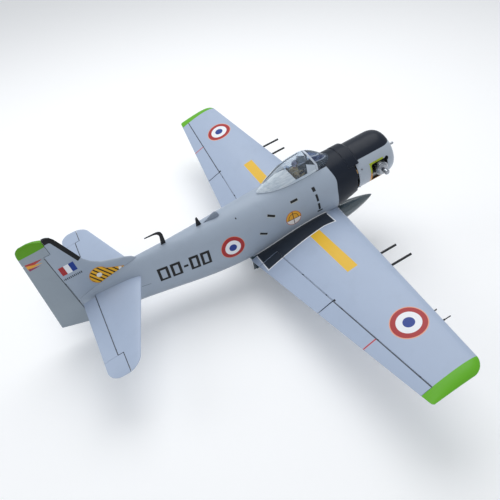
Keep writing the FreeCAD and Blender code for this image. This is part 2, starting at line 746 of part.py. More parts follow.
firewall = doc.addObject("PartDesign::Body", "firewall")
board_outline = sketch(firewall, "firewall_outline", "YZ_Plane")
circle_in(board_outline, "Params.cowl_r + 4.6")
board = firewall.newObject("PartDesign::Pad", "firewall_board")
board.Profile = board_outline
board.setExpression("Length", "Params.firewall_t")
doc.recompute()
bolt_circles = sketch(firewall, "firewall_holes", "YZ_Plane")
for across, rise in CORNERS:
    circle_in(bolt_circles, "2.6", across * STANDOFF_OFFSET, rise * STANDOFF_OFFSET)
bolt_holes = firewall.newObject("PartDesign::Pocket", "firewall_bolt_holes")
bolt_holes.Profile = bolt_circles
bolt_holes.Type = 1         # through all
bolt_holes.Midplane = True
doc.recompute()
firewall.Placement = at(size.firewall_x, 0, BOARD_Z)

# ---------------------------------------------------------------- cowl
SCREW_X = 150
SCREW_ANGLES = (20, 160, 232, 308)
SCREW_DIRECTIONS = [Vector(0, math.cos(math.radians(angle)), math.sin(math.radians(angle)))
                    for angle in SCREW_ANGLES]
CURVE_START, CURVE_IN = 255, 24     # x where the cowl starts to close in, and how far it does


def cowl_curve(inset, shift, steps):
    """Quarter-ellipse run of the cowl's nose as (radius, x)."""
    points = []
    for i in steps:
        angle = math.pi / 2 * i / 12
        points.append((cowl_r - inset - CURVE_IN * (1 - math.cos(angle)),
                       CURVE_START + (cowl_front - inset - CURVE_START) * math.sin(angle) - shift))
    return points


def screw_rods(label, radius, height, start):
    """One cylinder per cowl screw, pointing outward from radius start."""
    centre = Vector(SCREW_X, 0, thrust_z)
    return [doc_rod("%s_%d" % (label, i), radius, height,
                    Placement(centre + outward * start, Rotation(UP, outward)))
            for i, outward in enumerate(SCREW_DIRECTIONS)]


cowl_rear, cowl_front = size.cowl_rear_x, size.cowl_front_x
cowl_wall, inlet_r = size.cowl_wall, size.inlet_r
profile = [(cowl_r, cowl_rear), (cowl_r, CURVE_START)]
profile += cowl_curve(0, 0, range(1, 13))
profile += [(inlet_r + 0.6, cowl_front - 1.4), (inlet_r, cowl_front - 5),
            (inlet_r + 1.4, cowl_front - 8),
            (cowl_r - CURVE_IN - cowl_wall, cowl_front - cowl_wall - 1.2)]
profile += cowl_curve(cowl_wall, 0.6, range(11, 0, -1))
profile += [(cowl_r - cowl_wall, CURVE_START - 1), (cowl_r - cowl_wall, cowl_rear)]
cowl = revolved("cowl_turned_body", profile)
cowl.Placement = ON_THRUST_LINE
doc.recompute()
# opening round the cylinder, cut through the right side
cheek = doc_box("cheek_opening", 68.0, 70.0, 80.0, at(190, -120, 22))
doc.recompute()
cheek_rounded = fillet("cheek_rounded", cheek, 6.0,
                       lambda edge: abs(edge.tangentAt(edge.FirstParameter).y) > 0.9)
notch = doc_rod("cheek_notch", 7.0, 70.0, at(256, -50, 98, Rotation(FORWARD, 90)))
cowl_tools = [cheek_rounded, notch] + screw_rods("cowl_screw_hole", 1.7, 40.0, 60)
cowl_cut = cut("cowl_cut", cowl, fuse("cowl_tools", cowl_tools))
doc.recompute()
node(cowl_cut, "cowl")

# cowl lugs on the firewall and the screws into them
board_front = size.firewall_x + size.firewall_t
lugs = []
for i, (angle, outward) in enumerate(zip(SCREW_ANGLES, SCREW_DIRECTIONS)):
    base = Vector(board_front, 0, thrust_z) + outward * 77.0 - outward.cross(FORWARD) * 7
    lugs.append(doc_box("cowl_lug_%d" % i, 54.0, 14.0, 9.0,
                        Placement(base, Rotation(FORWARD, angle - 90))))
shanks = screw_rods("cowl_screw_shank", 1.5, 10.0, 78.5)
heads = screw_rods("cowl_screw_head", 2.9, 2.0, cowl_r + 0.02)
taps = screw_rods("cowl_lug_tap", 1.53, 14.0, 77.5)
doc.recompute()
node(cut("firewall_tapped", fuse("firewall_with_lugs", [firewall] + lugs),
         fuse("cowl_lug_taps", taps)), "firewall")
node(group("cowl_screws", [fuse("cowl_screw_%d" % i, list(pair))
                           for i, pair in enumerate(zip(shanks, heads))]), "cowl_screws")

# ---------------------------------------------------------------- engine
# one cylinder, lying on its side to the right
CYLINDER_X = 225
engine_x = board_front + size.standoff_len      # rear face of the engine
standoffs = [doc_rod("standoff_%d_%d" % (across, rise),
                     "Params.standoff_r", "Params.standoff_len",
                     at(board_front, across * STANDOFF_OFFSET,
                        BOARD_Z + rise * STANDOFF_OFFSET, ALONG_X))
             for across, rise in CORNERS]
node(group("engine_standoffs", standoffs), "engine_standoffs")

case_solid = fuse("case_solid", [
    doc_box("case_flange", 6.0, 68.0, 68.0, at(engine_x, -34, BOARD_Z - 34)),
    doc_rod("case_barrel", "Params.case_r", "Params.case_len",
            at(engine_x + 6, 0, thrust_z, ALONG_X)),
    primitive("Cone", "case_snout", at(engine_x + 6 + size.case_len, 0, thrust_z, ALONG_X),
              Radius1=22.0, Radius2=13.0, Height=34.0),
    doc_box("case_deck", 46.0, 10.0, 46.0, at(201, -34, thrust_z - 23)),
])
case_bore = doc_rod("case_bore", "Params.shaft_r + 2 + Params.run_gap", 200.0,
                    at(engine_x - 5, 0, thrust_z, ALONG_X))
node(cut("crankcase", case_solid, case_bore), "crankcase")

barrel, fin_r = size.barrel_r, size.fin_r
profile = [(0, 34.2), (barrel + 4, 34.2), (barrel + 4, 38)]
reach = 38.0
while reach < 96:       # one cooling fin per pitch
    fin_start = reach + size.fin_pitch - size.fin_thick
    reach += size.fin_pitch
    profile += [(barrel, reach - size.fin_pitch), (barrel, fin_start),
                (fin_r, fin_start), (fin_r, reach)]
profile += [(fin_r - 3, reach), (fin_r - 3, reach + 3), (fin_r - 8, reach + 9),
            (8, reach + 11), (8, reach + 8), (0, reach + 8)]
node(revolved("cylinder", profile), "cylinder", at(CYLINDER_X, 0, thrust_z, TO_RIGHT))
plug = revolved("spark_plug", [(0, 0), (7.5, 0), (7.5, 5), (5, 6), (5, 10), (9.5, 11),
                               (9.5, 23), (6.5, 26), (0, 26)])
node(plug, "spark_plug", at(CYLINDER_X, -reach - 8, thrust_z, TO_RIGHT))

shaft_r, shaft_tip, driver_r = size.shaft_r, size.shaft_tip_x, size.driver_r
shaft = revolved("propeller_shaft", [
    (0, engine_x + 3), (7, engine_x + 3), (7, engine_x + 132), (driver_r, engine_x + 132),
    (driver_r, engine_x + 142), (shaft_r, engine_x + 142), (shaft_r, shaft_tip - 1.5),
    (shaft_r - 1.5, shaft_tip), (0, shaft_tip)])
node(shaft, "propeller_shaft", ON_THRUST_LINE)

carburettor = fuse("carburettor_solid", [
    doc_box("carburettor_block", 26.0, 30.0, 26.0, at(engine_x - 26, -15, thrust_z - 14)),
    doc_rod("carburettor_mouth", 9.0, 12.0, at(engine_x - 38, 0, thrust_z - 1, ALONG_X))])
throat = doc_rod("carburettor_throat", 6.5, 30.0, at(engine_x - 40, 0, thrust_z - 1, ALONG_X))
node(cut("carburettor", carburettor, throat), "carburettor")

can = doc_box("muffler_can", 44.0, 78.0, 30.0, at(203, -62, thrust_z - 62))
doc.recompute()
can_rounded = fillet("muffler_rounded", can, 5.0, lambda edge: True)
outlet = doc_rod("muffler_outlet", 6.0, 30.0, at(208, 5, thrust_z - 50, Rotation(PORT, -90)))
node(fuse("muffler", [can_rounded, outlet]), "muffler")

# ---------------------------------------------------------------- inside the fuselage
TRAY_Z = -36
SHELF_Z = TRAY_Z + 3        # top of the equipment tray
fuel_body = doc_rod("fuel_body", "Params.fuel_r", "Params.fuel_len", at(-10, 0, 46, ALONG_X))
fuel_neck = doc_rod("fuel_neck", 9.0, 8.0, at(-11 + size.fuel_len, 0, 46, ALONG_X))
node(fuse("fuel_tank", [fuel_body, fuel_neck]), "fuel_tank")
cells = doc_box("battery_cells", "Params.cell_len", "Params.cell_wide", "Params.cell_tall",
                at(-232, -18, SHELF_Z))
node(group("battery_pack", [cells]), "battery_pack")
receiver = doc_box("receiver_case", 48.0, 30.0, 16.0, at(-150, -15, SHELF_Z))
node(group("receiver", [receiver]), "receiver")
tray = doc_box("tray_board", 346.0, 86.0, 3.0, at(-344, -43, TRAY_Z))
node(group("equipment_tray", [tray]), "equipment_tray")


def servo(label, x, y):
    case = doc_box(label + "_case", "Params.servo_len", "Params.servo_wide", "Params.servo_tall")
    ears = doc_box(label + "_ears", "Params.servo_len + 12", "Params.servo_wide", 2.0,
                   at(-6, 0, 20))
    spline_post = doc_rod(label + "_spline", 3.0, 5.0,
                          at(8, size.servo_wide / 2, size.servo_tall - 1))
    whole = fuse(label, [case, ears, spline_post])
    whole.Placement = at(x, y, SHELF_Z)
    return whole


servos = [servo("throttle_servo", -120, 26), servo("rudder_servo", -320, 12),
          servo("elevator_servo", -320, -28)]
for side, _ in SIDES:
    for span in SERVO_SPANS:
        servos.append(doc_box("wing_servo_%d_%d" % (side, span), 32.0, 16.0, 14.0,
                              at(SERVO_X - 16, side * span - 8,
                                 wing.limits(span, SERVO_X)[1] + 1.5)))
node(group("servos", servos), "servos")


def cross_tube(label, stem, wall_text, placement):
    """Tube across the fuselage, sized by the sheet's stem_r and stem_half."""
    body = doc.addObject("PartDesign::Body", label)
    section = sketch(body, stem + "_section")
    circle_in(section, "Params.%s_r" % stem)
    circle_in(section, "Params.%s_r - %s" % (stem, wall_text))
    pad = body.newObject("PartDesign::Pad", stem + "_length")
    pad.Profile = section
    pad.setExpression("Length", "Params.%s_half * 2" % stem)
    pad.Midplane = True
    doc.recompute()
    node(body, label, placement)


cross_tube("wing_joiner_tube", "joiner", "1.2", at(size.joiner_x, 0, size.joiner_z))
cross_tube("stabiliser_tube", "tail_tube", "0.8", at(size.tail_tube_x, 0, stab_z))

# wing retaining bolts, through the shell towards the root ribs
bolts = []
for side, _ in SIDES:
    turn = ALONG_Y if side > 0 else ALONG_Y.multiply(Rotation(FORWARD, 180))
    for x, z in WING_BOLTS:
        shank = doc_rod("wing_bolt_shank", 3.0, 36.0, at(x, side * 74, z, turn))
        head = doc_rod("wing_bolt_head", 5.5, 4.0, at(x, side * 70.5, z, turn))
        bolts.append(fuse("wing_bolt", [shank, head]))
node(group("wing_bolts", bolts), "wing_bolts")
doc.recompute()

# one rod turning in the tail, its ends held in the elevator halves
elevator_rod = doc_rod("elevator_rod", 1.97, 120.0, at(stab_hinge_x, -60, stab_z, ALONG_Y))
elevator_arm = doc_box("elevator_arm", 4.0, 2.0, 26.0, at(stab_hinge_x - 2, -1, stab_z - 27))
node(fuse("elevator_joiner", [elevator_rod, elevator_arm]), "elevator_joiner")

# ---------------------------------------------------------------- cockpit
tub = cut("tub_hollow", doc_box("tub_outside", 168.0, 56.0, 42.0, at(-146, -28, 116)),
          doc_box("tub_inside", 165.0, 53.0, 42.0, at(-144.5, -26.5, 117.5)))
seat_back = doc_box("seat_back", 5.0, 34.0, 66.0, at(-96, -17, 117, Rotation(PORT, -10)))
seat_pan = doc_box("seat_pan", 36.0, 34.0, 8.0, at(-92, -17, 117))
node(fuse("cockpit_tub", [tub, seat_back, seat_pan]), "cockpit_tub")
panel_board = doc_box("panel_board", 3.0, 50.0, 34.0, at(8, -25, 134))
hood = cut("panel_hood_top", doc_rod("panel_hood", 25.0, 18.0, at(8, 0, 160, ALONG_X)),
           doc_box("panel_hood_cut", 40.0, 60.0, 60.0, at(0, -30, 100)))
node(fuse("instrument_panel", [panel_board, hood]), "instrument_panel")
torso = primitive("Ellipsoid", "pilot_torso", at(-68, 0, 158),
                  Radius1=30.0, Radius2=14.0, Radius3=22.0)
neck = doc_rod("pilot_neck", 6.5, 20.0, at(-66, 0, 180))
head = primitive("Ellipsoid", "pilot_head", at(-63, 0, 207),
                 Radius1=16.5, Radius2=15.5, Radius3=14.0)
node(fuse("pilot_figure", [torso, neck, head]), "pilot_figure")

# ---------------------------------------------------------------- canopy and windscreen
# half-round sections over the deck: x, top z, half width
CANOPY = [
    (66, 171, 5), (58, 181, 18), (44, 191, 28), (29, 205, 33.5), (14, 217, 37), (-1, 227, 39),
    (-16, 234.5, 40), (-28, 238, 40.5), (-50, 238.5, 41), (-86, 235.5, 40.5),
    (-120, 228, 38.5), (-150, 217, 35), (-180, 203, 28), (-205, 190.5, 19),
    (-222, 180.5, 10), (-230, 175.5, 4),
]


def canopy_wire(x, top, half_width, inset):
    top, half_width = top - inset, max(half_width - inset, 1.0)
    foot_z, spring_z, power = 140.0, 158, 2 / 2.25
    points = []
    for i in range(25):
        angle = math.pi * i / 24
        points.append(Vector(x, half_width * signed_power(math.cos(angle), power),
                             spring_z + (top - spring_z) * abs(math.sin(angle)) ** power))
    left, right = Vector(x, half_width, foot_z), Vector(x, -half_width, foot_z)
    return Part.Wire([line(left, points[0]), spline(points),
                      line(points[-1], right), line(right, left)])


def rake(shift):
    """Raked plane of the frame arch, moved forward by shift, (x, z) from top to bottom."""
    return [(-26 + shift, 300), (-26 + shift, 240), (-5 + shift, 186), (-5.5 + shift, 100)]


def pane(shrink):
    """Clear part of the sliding canopy, shrunk all round."""
    low = side_prism([(-89.7 + shrink, 172 + shrink), (-111.5 + shrink, 221),
                      (-111.5 + shrink, 300), (60, 300), (60, 172 + shrink)], 80)
    tail = plan_prism([(-100, -22 + shrink), (-100, 22 - shrink), (-111.5, 22 - shrink),
                       (-150, 10 - shrink), (-199 + shrink, 2), (-199 + shrink, -2),
                       (-150, -10 + shrink), (-111.5, -22 + shrink)], 185, 300)
    return low.fuse(tail)


canopy_outer = loft([canopy_wire(*row, 0) for row in CANOPY], ruled=False)
canopy_inner = loft([canopy_wire(*row, 1.6) for row in CANOPY[1:-1]], ruled=False)
bubble = canopy_outer.cut(canopy_inner).cut(fuselage_loft([140] + stations[1:], 1.2))
slider = bubble.common(side_prism([(-240, 300)] + rake(-1.0) + [(-240, 100)], 90))
feature("canopy_glass", slider.common(pane(0.05)))
feature("canopy_frame", slider.cut(pane(0.0)))
feature("windscreen_frame", bubble.common(side_prism(rake(0.0) + rake(7.5)[::-1], 90)))
feature("windscreen_glass", bubble.common(side_prism(rake(7.55) + [(80, 100), (80, 300)], 90)))

# ---------------------------------------------------------------- guns and pitot tube
guns = []
for side, _ in SIDES:
    for span, muzzle in GUNS:
        root, z = wing.lead(span) - 15.5, wing.base(span) + 0.6
        suffix = "%d_%d" % (side, int(span))
        tube = doc_rod("gun_" + suffix, "Params.gun_r", muzzle - root,
                       at(root, side * span, z, ALONG_X))
        bore = doc_rod("gun_bore_" + suffix, 2.4, 30.0,
                       at(muzzle - 14, side * span, z, ALONG_X))
        guns.append(cut("gun_barrel_" + suffix, tube, bore))
node(group("gun_barrels", guns), "gun_barrels")
doc.recompute()


def datum_shape(label):
    """A finished piece's shape, back in the datum frame."""
    shape = parts[label].Shape.copy()
    shape.Placement = STANCE.inverse().multiply(shape.Placement)
    return shape


# stepped tube and small vane on the right wing's leading edge
PITOT_Y, VANE_Y = 717.0, 675.0
right_wing = datum_shape("wing_panel_right")
pitot_root = Vector(wing.lead(PITOT_Y) - 1, -PITOT_Y, wing.base(PITOT_Y))
pitot = Part.makeCylinder(1.6, 26, pitot_root, FORWARD)
pitot = pitot.fuse(Part.makeCylinder(2.6, 6, pitot_root, FORWARD))
vane = box(9, 2, 5, wing.lead(VANE_Y) - 1, -VANE_Y - 1, wing.base(VANE_Y) - 2.5)
feature("pitot_tube", Part.makeCompound([pitot.cut(right_wing), vane.cut(right_wing)]))

# ---------------------------------------------------------------- drop tank and pylon
tank_r, tank_z, tank_tail = size.tank_r, size.tank_z, size.tank_tail


def tank_body(label, inset=0.0, tail_gap=0, nose_gap=0):
    """Streamlined tank, or the void inside it, as a turned body along X."""
    radius, tail, nose_start = tank_r - inset, tank_tail + tail_gap, size.tank_nose - 215
    points = [(0, tail)]
    for i in range(1, 21):
        share = i / 20.0
        points.append((radius * math.sin(math.pi / 2 * share) ** 0.78,
                       tail + (250 - tail_gap) * share))
    for i in range(0, 21):
        share = i / 20.0
        points.append((radius * math.cos(math.pi / 2 * share) ** 0.72 if share < 1 else 0.0,
                       nose_start + (215 - nose_gap) * share))
    body = revolved(label, points)
    body.Placement = at(0, 0, tank_z, ALONG_X)
    return body


def tank_fin(turns):
    blade = side_prism([(tank_tail + 2, 0), (tank_tail - 4, size.tank_fin_r),
                        (tank_tail + 18, size.tank_fin_r), (tank_tail + 52, 12),
                        (tank_tail + 60, 0)], 0.9)
    blade.rotate(Vector(0, 0, 0), FORWARD, 90 * turns)
    blade.translate(Vector(0, 0, tank_z))
    return blade


tank_outer = tank_body("drop_tank_turned")
fins = [tank_fin(turns) for turns in range(4)]
tank_fins = doc.addObject("Part::Feature", "drop_tank_fins")
tank_fins.Shape = tidy(fins[0].fuse(fins[1:]).cut(fuselage_clear))
tank_void = tank_body("drop_tank_hollow", 2.4, 16, 10)
drain = doc_rod("drop_tank_drain", 1.5, tank_r, at(0, 0, tank_z - tank_r - 2))
node(cut("drop_tank_moulding", fuse("drop_tank_solid", [tank_outer, tank_fins]),
         fuse("drop_tank_void", [tank_void, drain])), "drop_tank")
doc.recompute()

PYLON = ((20, 0), (5, 6), (-90, 7), (-140, 0), (-90, -7), (5, -6))      # x, y
pylon = loft([outline([Vector(x, y, z) for x, y in PYLON]) for z in (-95, -40)])
pylon = pylon.cut(fuselage_clear).cut(datum_shape("drop_tank"))
feature("tank_pylon", max(pylon.Solids, key=lambda solid: solid.Volume))

# ---------------------------------------------------------------- antennas
# (x, z) of the hooked mast's outline and of the teardrop's profile
MAST = [
    (-592, 150), (-588.6, 190), (-587.8, 206), (-589.2, 214.5), (-593.5, 220.5),
    (-601, 224), (-612, 225.3), (-648, 226), (-648, 223.8), (-615, 220.2),
    (-606, 216.4), (-601.2, 209.5), (-600.6, 200), (-603, 190), (-612, 150),
]
TEARDROP = [(-446, 0), (-436, 4.0), (-421, 11.0), (-406, 18.0),
            (-397, 20.5), (-390, 17.5), (-385.5, 9.5), (-384, 0)]


def diamond(front, middle, rear, half_width, z):
    return outline([Vector(front, 0, z), Vector(middle, half_width, z),
                    Vector(rear, 0, z), Vector(middle, -half_width, z)])


blade = loft([diamond(-452, -462, -474, 2.2, 160), diamond(-459, -461, -465, 0.9, 201)])
mast = side_prism(MAST, 1.6)
points = [Vector(x, 0, z) for x, z in TEARDROP]
drop = Part.Face(Part.Wire([spline(points), line(points[-1], points[0])]))
drop = drop.revolve(Vector(-415, 0, 0), FORWARD, 360)
if drop.ShapeType != "Solid":
    drop = Part.makeSolid(drop)
flatten = FreeCAD.Matrix()
flatten.scale(Vector(1, 0.4, 1))
drop = drop.transformGeometry(flatten)
drop.translate(Vector(0, 0, 166))
if drop.Volume < 0:
    drop.reverse()
feature("antennas", Part.makeCompound([shape.cut(fuselage_clear)
                                       for shape in (blade, mast, drop)]))

# ---------------------------------------------------------------- main undercarriage
run_gap, axle_r, leg_r, hub_r = size.run_gap, size.axle_r, size.leg_r, size.hub_r
axle_z = gear_z - leg


def retract_frame(side):
    """Two cheeks in the wing that carry the trunnion's journals."""
    cheeks = []
    for offset in (16, -16):
        y = side * gear_y + offset
        bore = centred_rod(3 + run_gap, 12, Vector(gear_x, y, gear_z))
        cheeks.append(box(26, 4, 20, gear_x - 13, y - 2, gear_z - 10).cut(bore))
    return cheeks


def gear_trunnion(side):
    y = side * gear_y
    pivot = Vector(gear_x, y, gear_z)
    socket = Part.makeCylinder(7.5, 26, Vector(gear_x, y, gear_z - 26))
    whole = centred_rod(9, 27, pivot).fuse([centred_rod(3, 36, pivot), socket])
    return whole.cut(Part.makeCylinder(leg_r + run_gap, 24, Vector(gear_x, y, gear_z - 27)))


def torque_link(side, angle, x, z):
    link = Part.makeBox(3, 6, 26)
    link.rotate(Vector(0, 0, 0), PORT, angle)
    link.translate(Vector(x, side * gear_y - 3, z))
    return link


def gear_strut(side):
    y, outboard = side * gear_y, Vector(0, side, 0)
    strut = Part.makeCylinder(leg_r, leg - 6, Vector(gear_x, y, axle_z - 2))
    lower = Part.makeCylinder(leg_r + 1.6, 70, Vector(gear_x, y, axle_z - 8))
    yoke = centred_rod(7.5, 12, Vector(gear_x, y, axle_z))
    axle = Part.makeCylinder(axle_r, 6 + wheel_off + tyre_w / 2 + 3,
                             Vector(gear_x, y, axle_z), outboard)
    cap_y = side * (gear_y + wheel_off + tyre_w / 2 + 1.0)
    cap = Part.makeCylinder(4.2, 2, Vector(gear_x, cap_y, axle_z), outboard)
    return strut.fuse([lower, yoke, axle, cap,
                       torque_link(side, 38, gear_x - 22, axle_z + 28),
                       torque_link(side, -38, gear_x - 6, axle_z + 46)])


def main_wheel(side, tag):
    local = at(gear_x, side * (gear_y + wheel_off), axle_z, Rotation(UP, Vector(0, side, 0)))
    hub = [(axle_r + run_gap, -9), (8, -9), (8, -6), (12, -4), (hub_r - 3, -6), (hub_r, -9),
           (hub_r, 9), (hub_r - 3, 6), (12, 4), (8, 6), (8, 9.5), (axle_r + run_gap, 9.5)]
    node(revolved("wheel_hub_" + tag, hub), "wheel_hub_" + tag, local)
    half = tyre_w / 2
    tyre = [(hub_r, -9), (hub_r + 4, -half + 0.4)]
    for i in range(0, 13):
        angle = math.pi * i / 12
        tyre.append((wheel_r - 12 + 12 * math.sin(angle) ** 0.8, -half * math.cos(angle)))
    tyre += [(hub_r + 4, half - 0.4), (hub_r, 9)]
    node(revolved("tyre_" + tag, tyre), "tyre_" + tag, local)


frames = []
for side, tag in SIDES:
    frames += retract_frame(side)
    feature("gear_trunnion_" + tag, gear_trunnion(side))
    feature("gear_strut_" + tag, gear_strut(side))
    main_wheel(side, tag)
feature("retract_frames", Part.makeCompound(frames))

# ---------------------------------------------------------------- tail wheel
tail_x, tail_axle_x, tail_axle_z = size.tail_x, size.tail_axle_x, size.tail_axle_z
tail_half = size.tail_tyre_w / 2
TAIL_HUB_R, TAIL_TYRE_BULGE = 9, 5
PLATE = 2.4                             # thickness of a fork plate
fork_half = tail_half + 1 + PLATE       # centre plane to the fork's outer face

bracket = box(40, 16, 40, tail_x - 20, -8, -12).cut(fuselage_clear)
bracket = min(bracket.Solids, key=lambda solid: solid.BoundBox.ZMin)    # the part below
feature("tailwheel_bracket",
        bracket.cut(Part.makeCylinder(2.5 + run_gap, 60, Vector(tail_x, 0, -20))))

fork = Part.makeCylinder(2.5, 18, Vector(tail_x, 0, -20)).fuse([
    Part.makeCylinder(6, 4, Vector(tail_x, 0, -22)),
    box(26, 2 * fork_half, 4, tail_x - 22, -fork_half, -26),
    Part.makeCylinder(6, 4, Vector(tail_x, 0, -26))])
for side, _ in SIDES:
    fork = fork.fuse(side_prism([(tail_x - 22, -26), (tail_x - 6, -26),
                                 (tail_axle_x + 5, tail_axle_z - 5),
                                 (tail_axle_x - 5, tail_axle_z - 5), (tail_x - 28, -26)],
                                PLATE / 2, side * (fork_half - PLATE / 2)))
fork = fork.fuse(centred_rod(2.0, 2 * fork_half + 2, Vector(tail_axle_x, 0, tail_axle_z)))
feature("tailwheel_fork", fork)

tail_hub = revolved("tailwheel_hub", [
    (2.0 + run_gap, -tail_half), (TAIL_HUB_R, -tail_half + 0.5),
    (TAIL_HUB_R, tail_half - 0.5), (2.0 + run_gap, tail_half)])
profile = [(TAIL_HUB_R, -tail_half + 0.5)]
for i in range(0, 11):
    angle = math.pi * i / 10
    bulge = TAIL_TYRE_BULGE * math.sin(angle)
    profile.append((size.tail_wheel_r - TAIL_TYRE_BULGE + bulge, -tail_half * math.cos(angle)))
profile.append((TAIL_HUB_R, tail_half - 0.5))
tail_tyre = revolved("tailwheel_tyre", profile)
for body in (tail_hub, tail_tyre):
    body.Placement = at(tail_axle_x, 0, tail_axle_z, Rotation(UP, PORT))
node(group("tailwheel", [tail_hub, tail_tyre]), "tailwheel")

doc.recompute()

# ---------------------------------------------------------------- checks and output
os.makedirs("parts", exist_ok=True)
bad = []
for obj in doc.Objects:
    if any(state in ("Invalid", "Error") for state in obj.State):
        bad.append("%s state %s" % (obj.Label, obj.State))
for label, obj in parts.items():
    if obj.Shape.isNull() or not obj.Shape.isValid() or not obj.Shape.Solids:
        bad.append("%s is null, invalid or has no solid" % label)
if bad:
    raise SystemExit("failed:\n" + "\n".join(bad))
for label, obj in parts.items():
    obj.Shape.exportStep("parts/%s.step" % label)
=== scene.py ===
# A propeller-driven model aeroplane with its pilot, standing tail down on a studio floor.
# Shapes are given in the drawing frame: nose along +X, left wing along +Y, up +Z, millimetres.
# The world frame is in metres; the drawing frame is tilted nose up and shifted into it.
import bpy
import bmesh
import math
from functools import cached_property
from mathutils import Vector, Matrix
from mathutils.bvhtree import BVHTree


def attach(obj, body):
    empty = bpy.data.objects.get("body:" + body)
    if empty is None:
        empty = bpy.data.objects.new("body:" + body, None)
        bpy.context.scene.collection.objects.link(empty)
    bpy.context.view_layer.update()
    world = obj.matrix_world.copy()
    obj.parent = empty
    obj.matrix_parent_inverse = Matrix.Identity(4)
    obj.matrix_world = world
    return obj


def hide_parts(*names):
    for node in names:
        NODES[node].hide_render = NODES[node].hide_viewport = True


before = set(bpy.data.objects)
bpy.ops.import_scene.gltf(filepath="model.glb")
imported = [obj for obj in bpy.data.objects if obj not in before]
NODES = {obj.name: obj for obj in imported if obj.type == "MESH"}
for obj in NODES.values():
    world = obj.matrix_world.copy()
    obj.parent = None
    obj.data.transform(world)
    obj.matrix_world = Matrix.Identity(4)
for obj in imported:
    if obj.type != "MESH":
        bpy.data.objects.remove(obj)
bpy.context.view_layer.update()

# ------------------------------------------------------------------ frames and shared places
TILT = math.radians(10.657)
COS_TILT, SIN_TILT = math.cos(TILT), math.sin(TILT)
ORIGIN_X, ORIGIN_Z = 365.8, 228.64  # the drawing origin in the world frame
SIDES = ((1, "left"), (-1, "right"))

HEAD = Vector((-63.0, 0.0, 205.0))  # middle of the pilot's head
EYE_Y, EYE_RISE = 3.05, 1.0         # eyes: off the centreline, above the head's middle
COWL_AXIS_Z = 74.0
# instrument dials: y, z, radius
DIALS = [(-17.5, 158.5, 4.4), (-6.0, 158.5, 4.4), (6.0, 158.5, 4.4), (17.5, 158.5, 4.4),
         (-12.0, 147.0, 3.6), (0.0, 147.0, 3.6), (12.0, 147.0, 3.6)]


def turn_to_world(x, y, z):
    return Vector((x * COS_TILT - z * SIN_TILT, y, x * SIN_TILT + z * COS_TILT))


def to_world(x, y, z):
    return (turn_to_world(x, y, z) + Vector((ORIGIN_X, 0, ORIGIN_Z))) / 1000.0


def to_drawing(point):
    x, z = point[0] * 1000 - ORIGIN_X, point[2] * 1000 - ORIGIN_Z
    return Vector((x * COS_TILT + z * SIN_TILT, point[1] * 1000, -x * SIN_TILT + z * COS_TILT))


def linear(code):
    """Linear RGBA from a #rrggbb colour."""
    out = []
    for i in (1, 3, 5):
        level = int(code[i:i + 2], 16) / 255.0
        out.append(level / 12.92 if level <= 0.04045 else ((level + 0.055) / 1.055) ** 2.4)
    return (*out, 1.0)


# ------------------------------------------------------------------ shader graphs as arithmetic
class Value:
    """A number in a shader. Masks run 0..1: * keeps their overlap and | joins them."""

    def __init__(self, mat, socket):
        self.mat, self.socket = mat, socket

    def __add__(self, other):
        return self.mat.math("ADD", self, other)

    def __sub__(self, other):
        return self.mat.math("SUBTRACT", self, other)

    def __rsub__(self, other):
        return self.mat.math("SUBTRACT", other, self)

    def __mul__(self, other):
        return self.mat.math("MULTIPLY", self, other)

    def __truediv__(self, other):
        return self.mat.math("DIVIDE", self, other)

    def __or__(self, other):
        return self.mat.math("MAXIMUM", self, other)

    def __abs__(self):
        return self.mat.math("ABSOLUTE", self)

    def pingpong(self, size):
        return self.mat.math("PINGPONG", self, size)

    def scaled(self, gain, offset):
        return self.mat.math("MULTIPLY_ADD", self, gain, offset)

    def ramp(self, gain, offset):
        """Scaled and held to 0..1."""
        return self.mat.math("MULTIPLY_ADD", self, gain, offset, clamp=True)

    def below(self, limit, soft=0.5):
        """1 under the limit, 0 over it, with an edge as wide as soft."""
        if isinstance(limit, Value):
            return (limit - self).ramp(1.0 / soft, 0.5)
        return self.ramp(-1.0 / soft, limit / soft + 0.5)

    def above(self, limit, soft=0.5):
        return self.ramp(1.0 / soft, -limit / soft + 0.5)


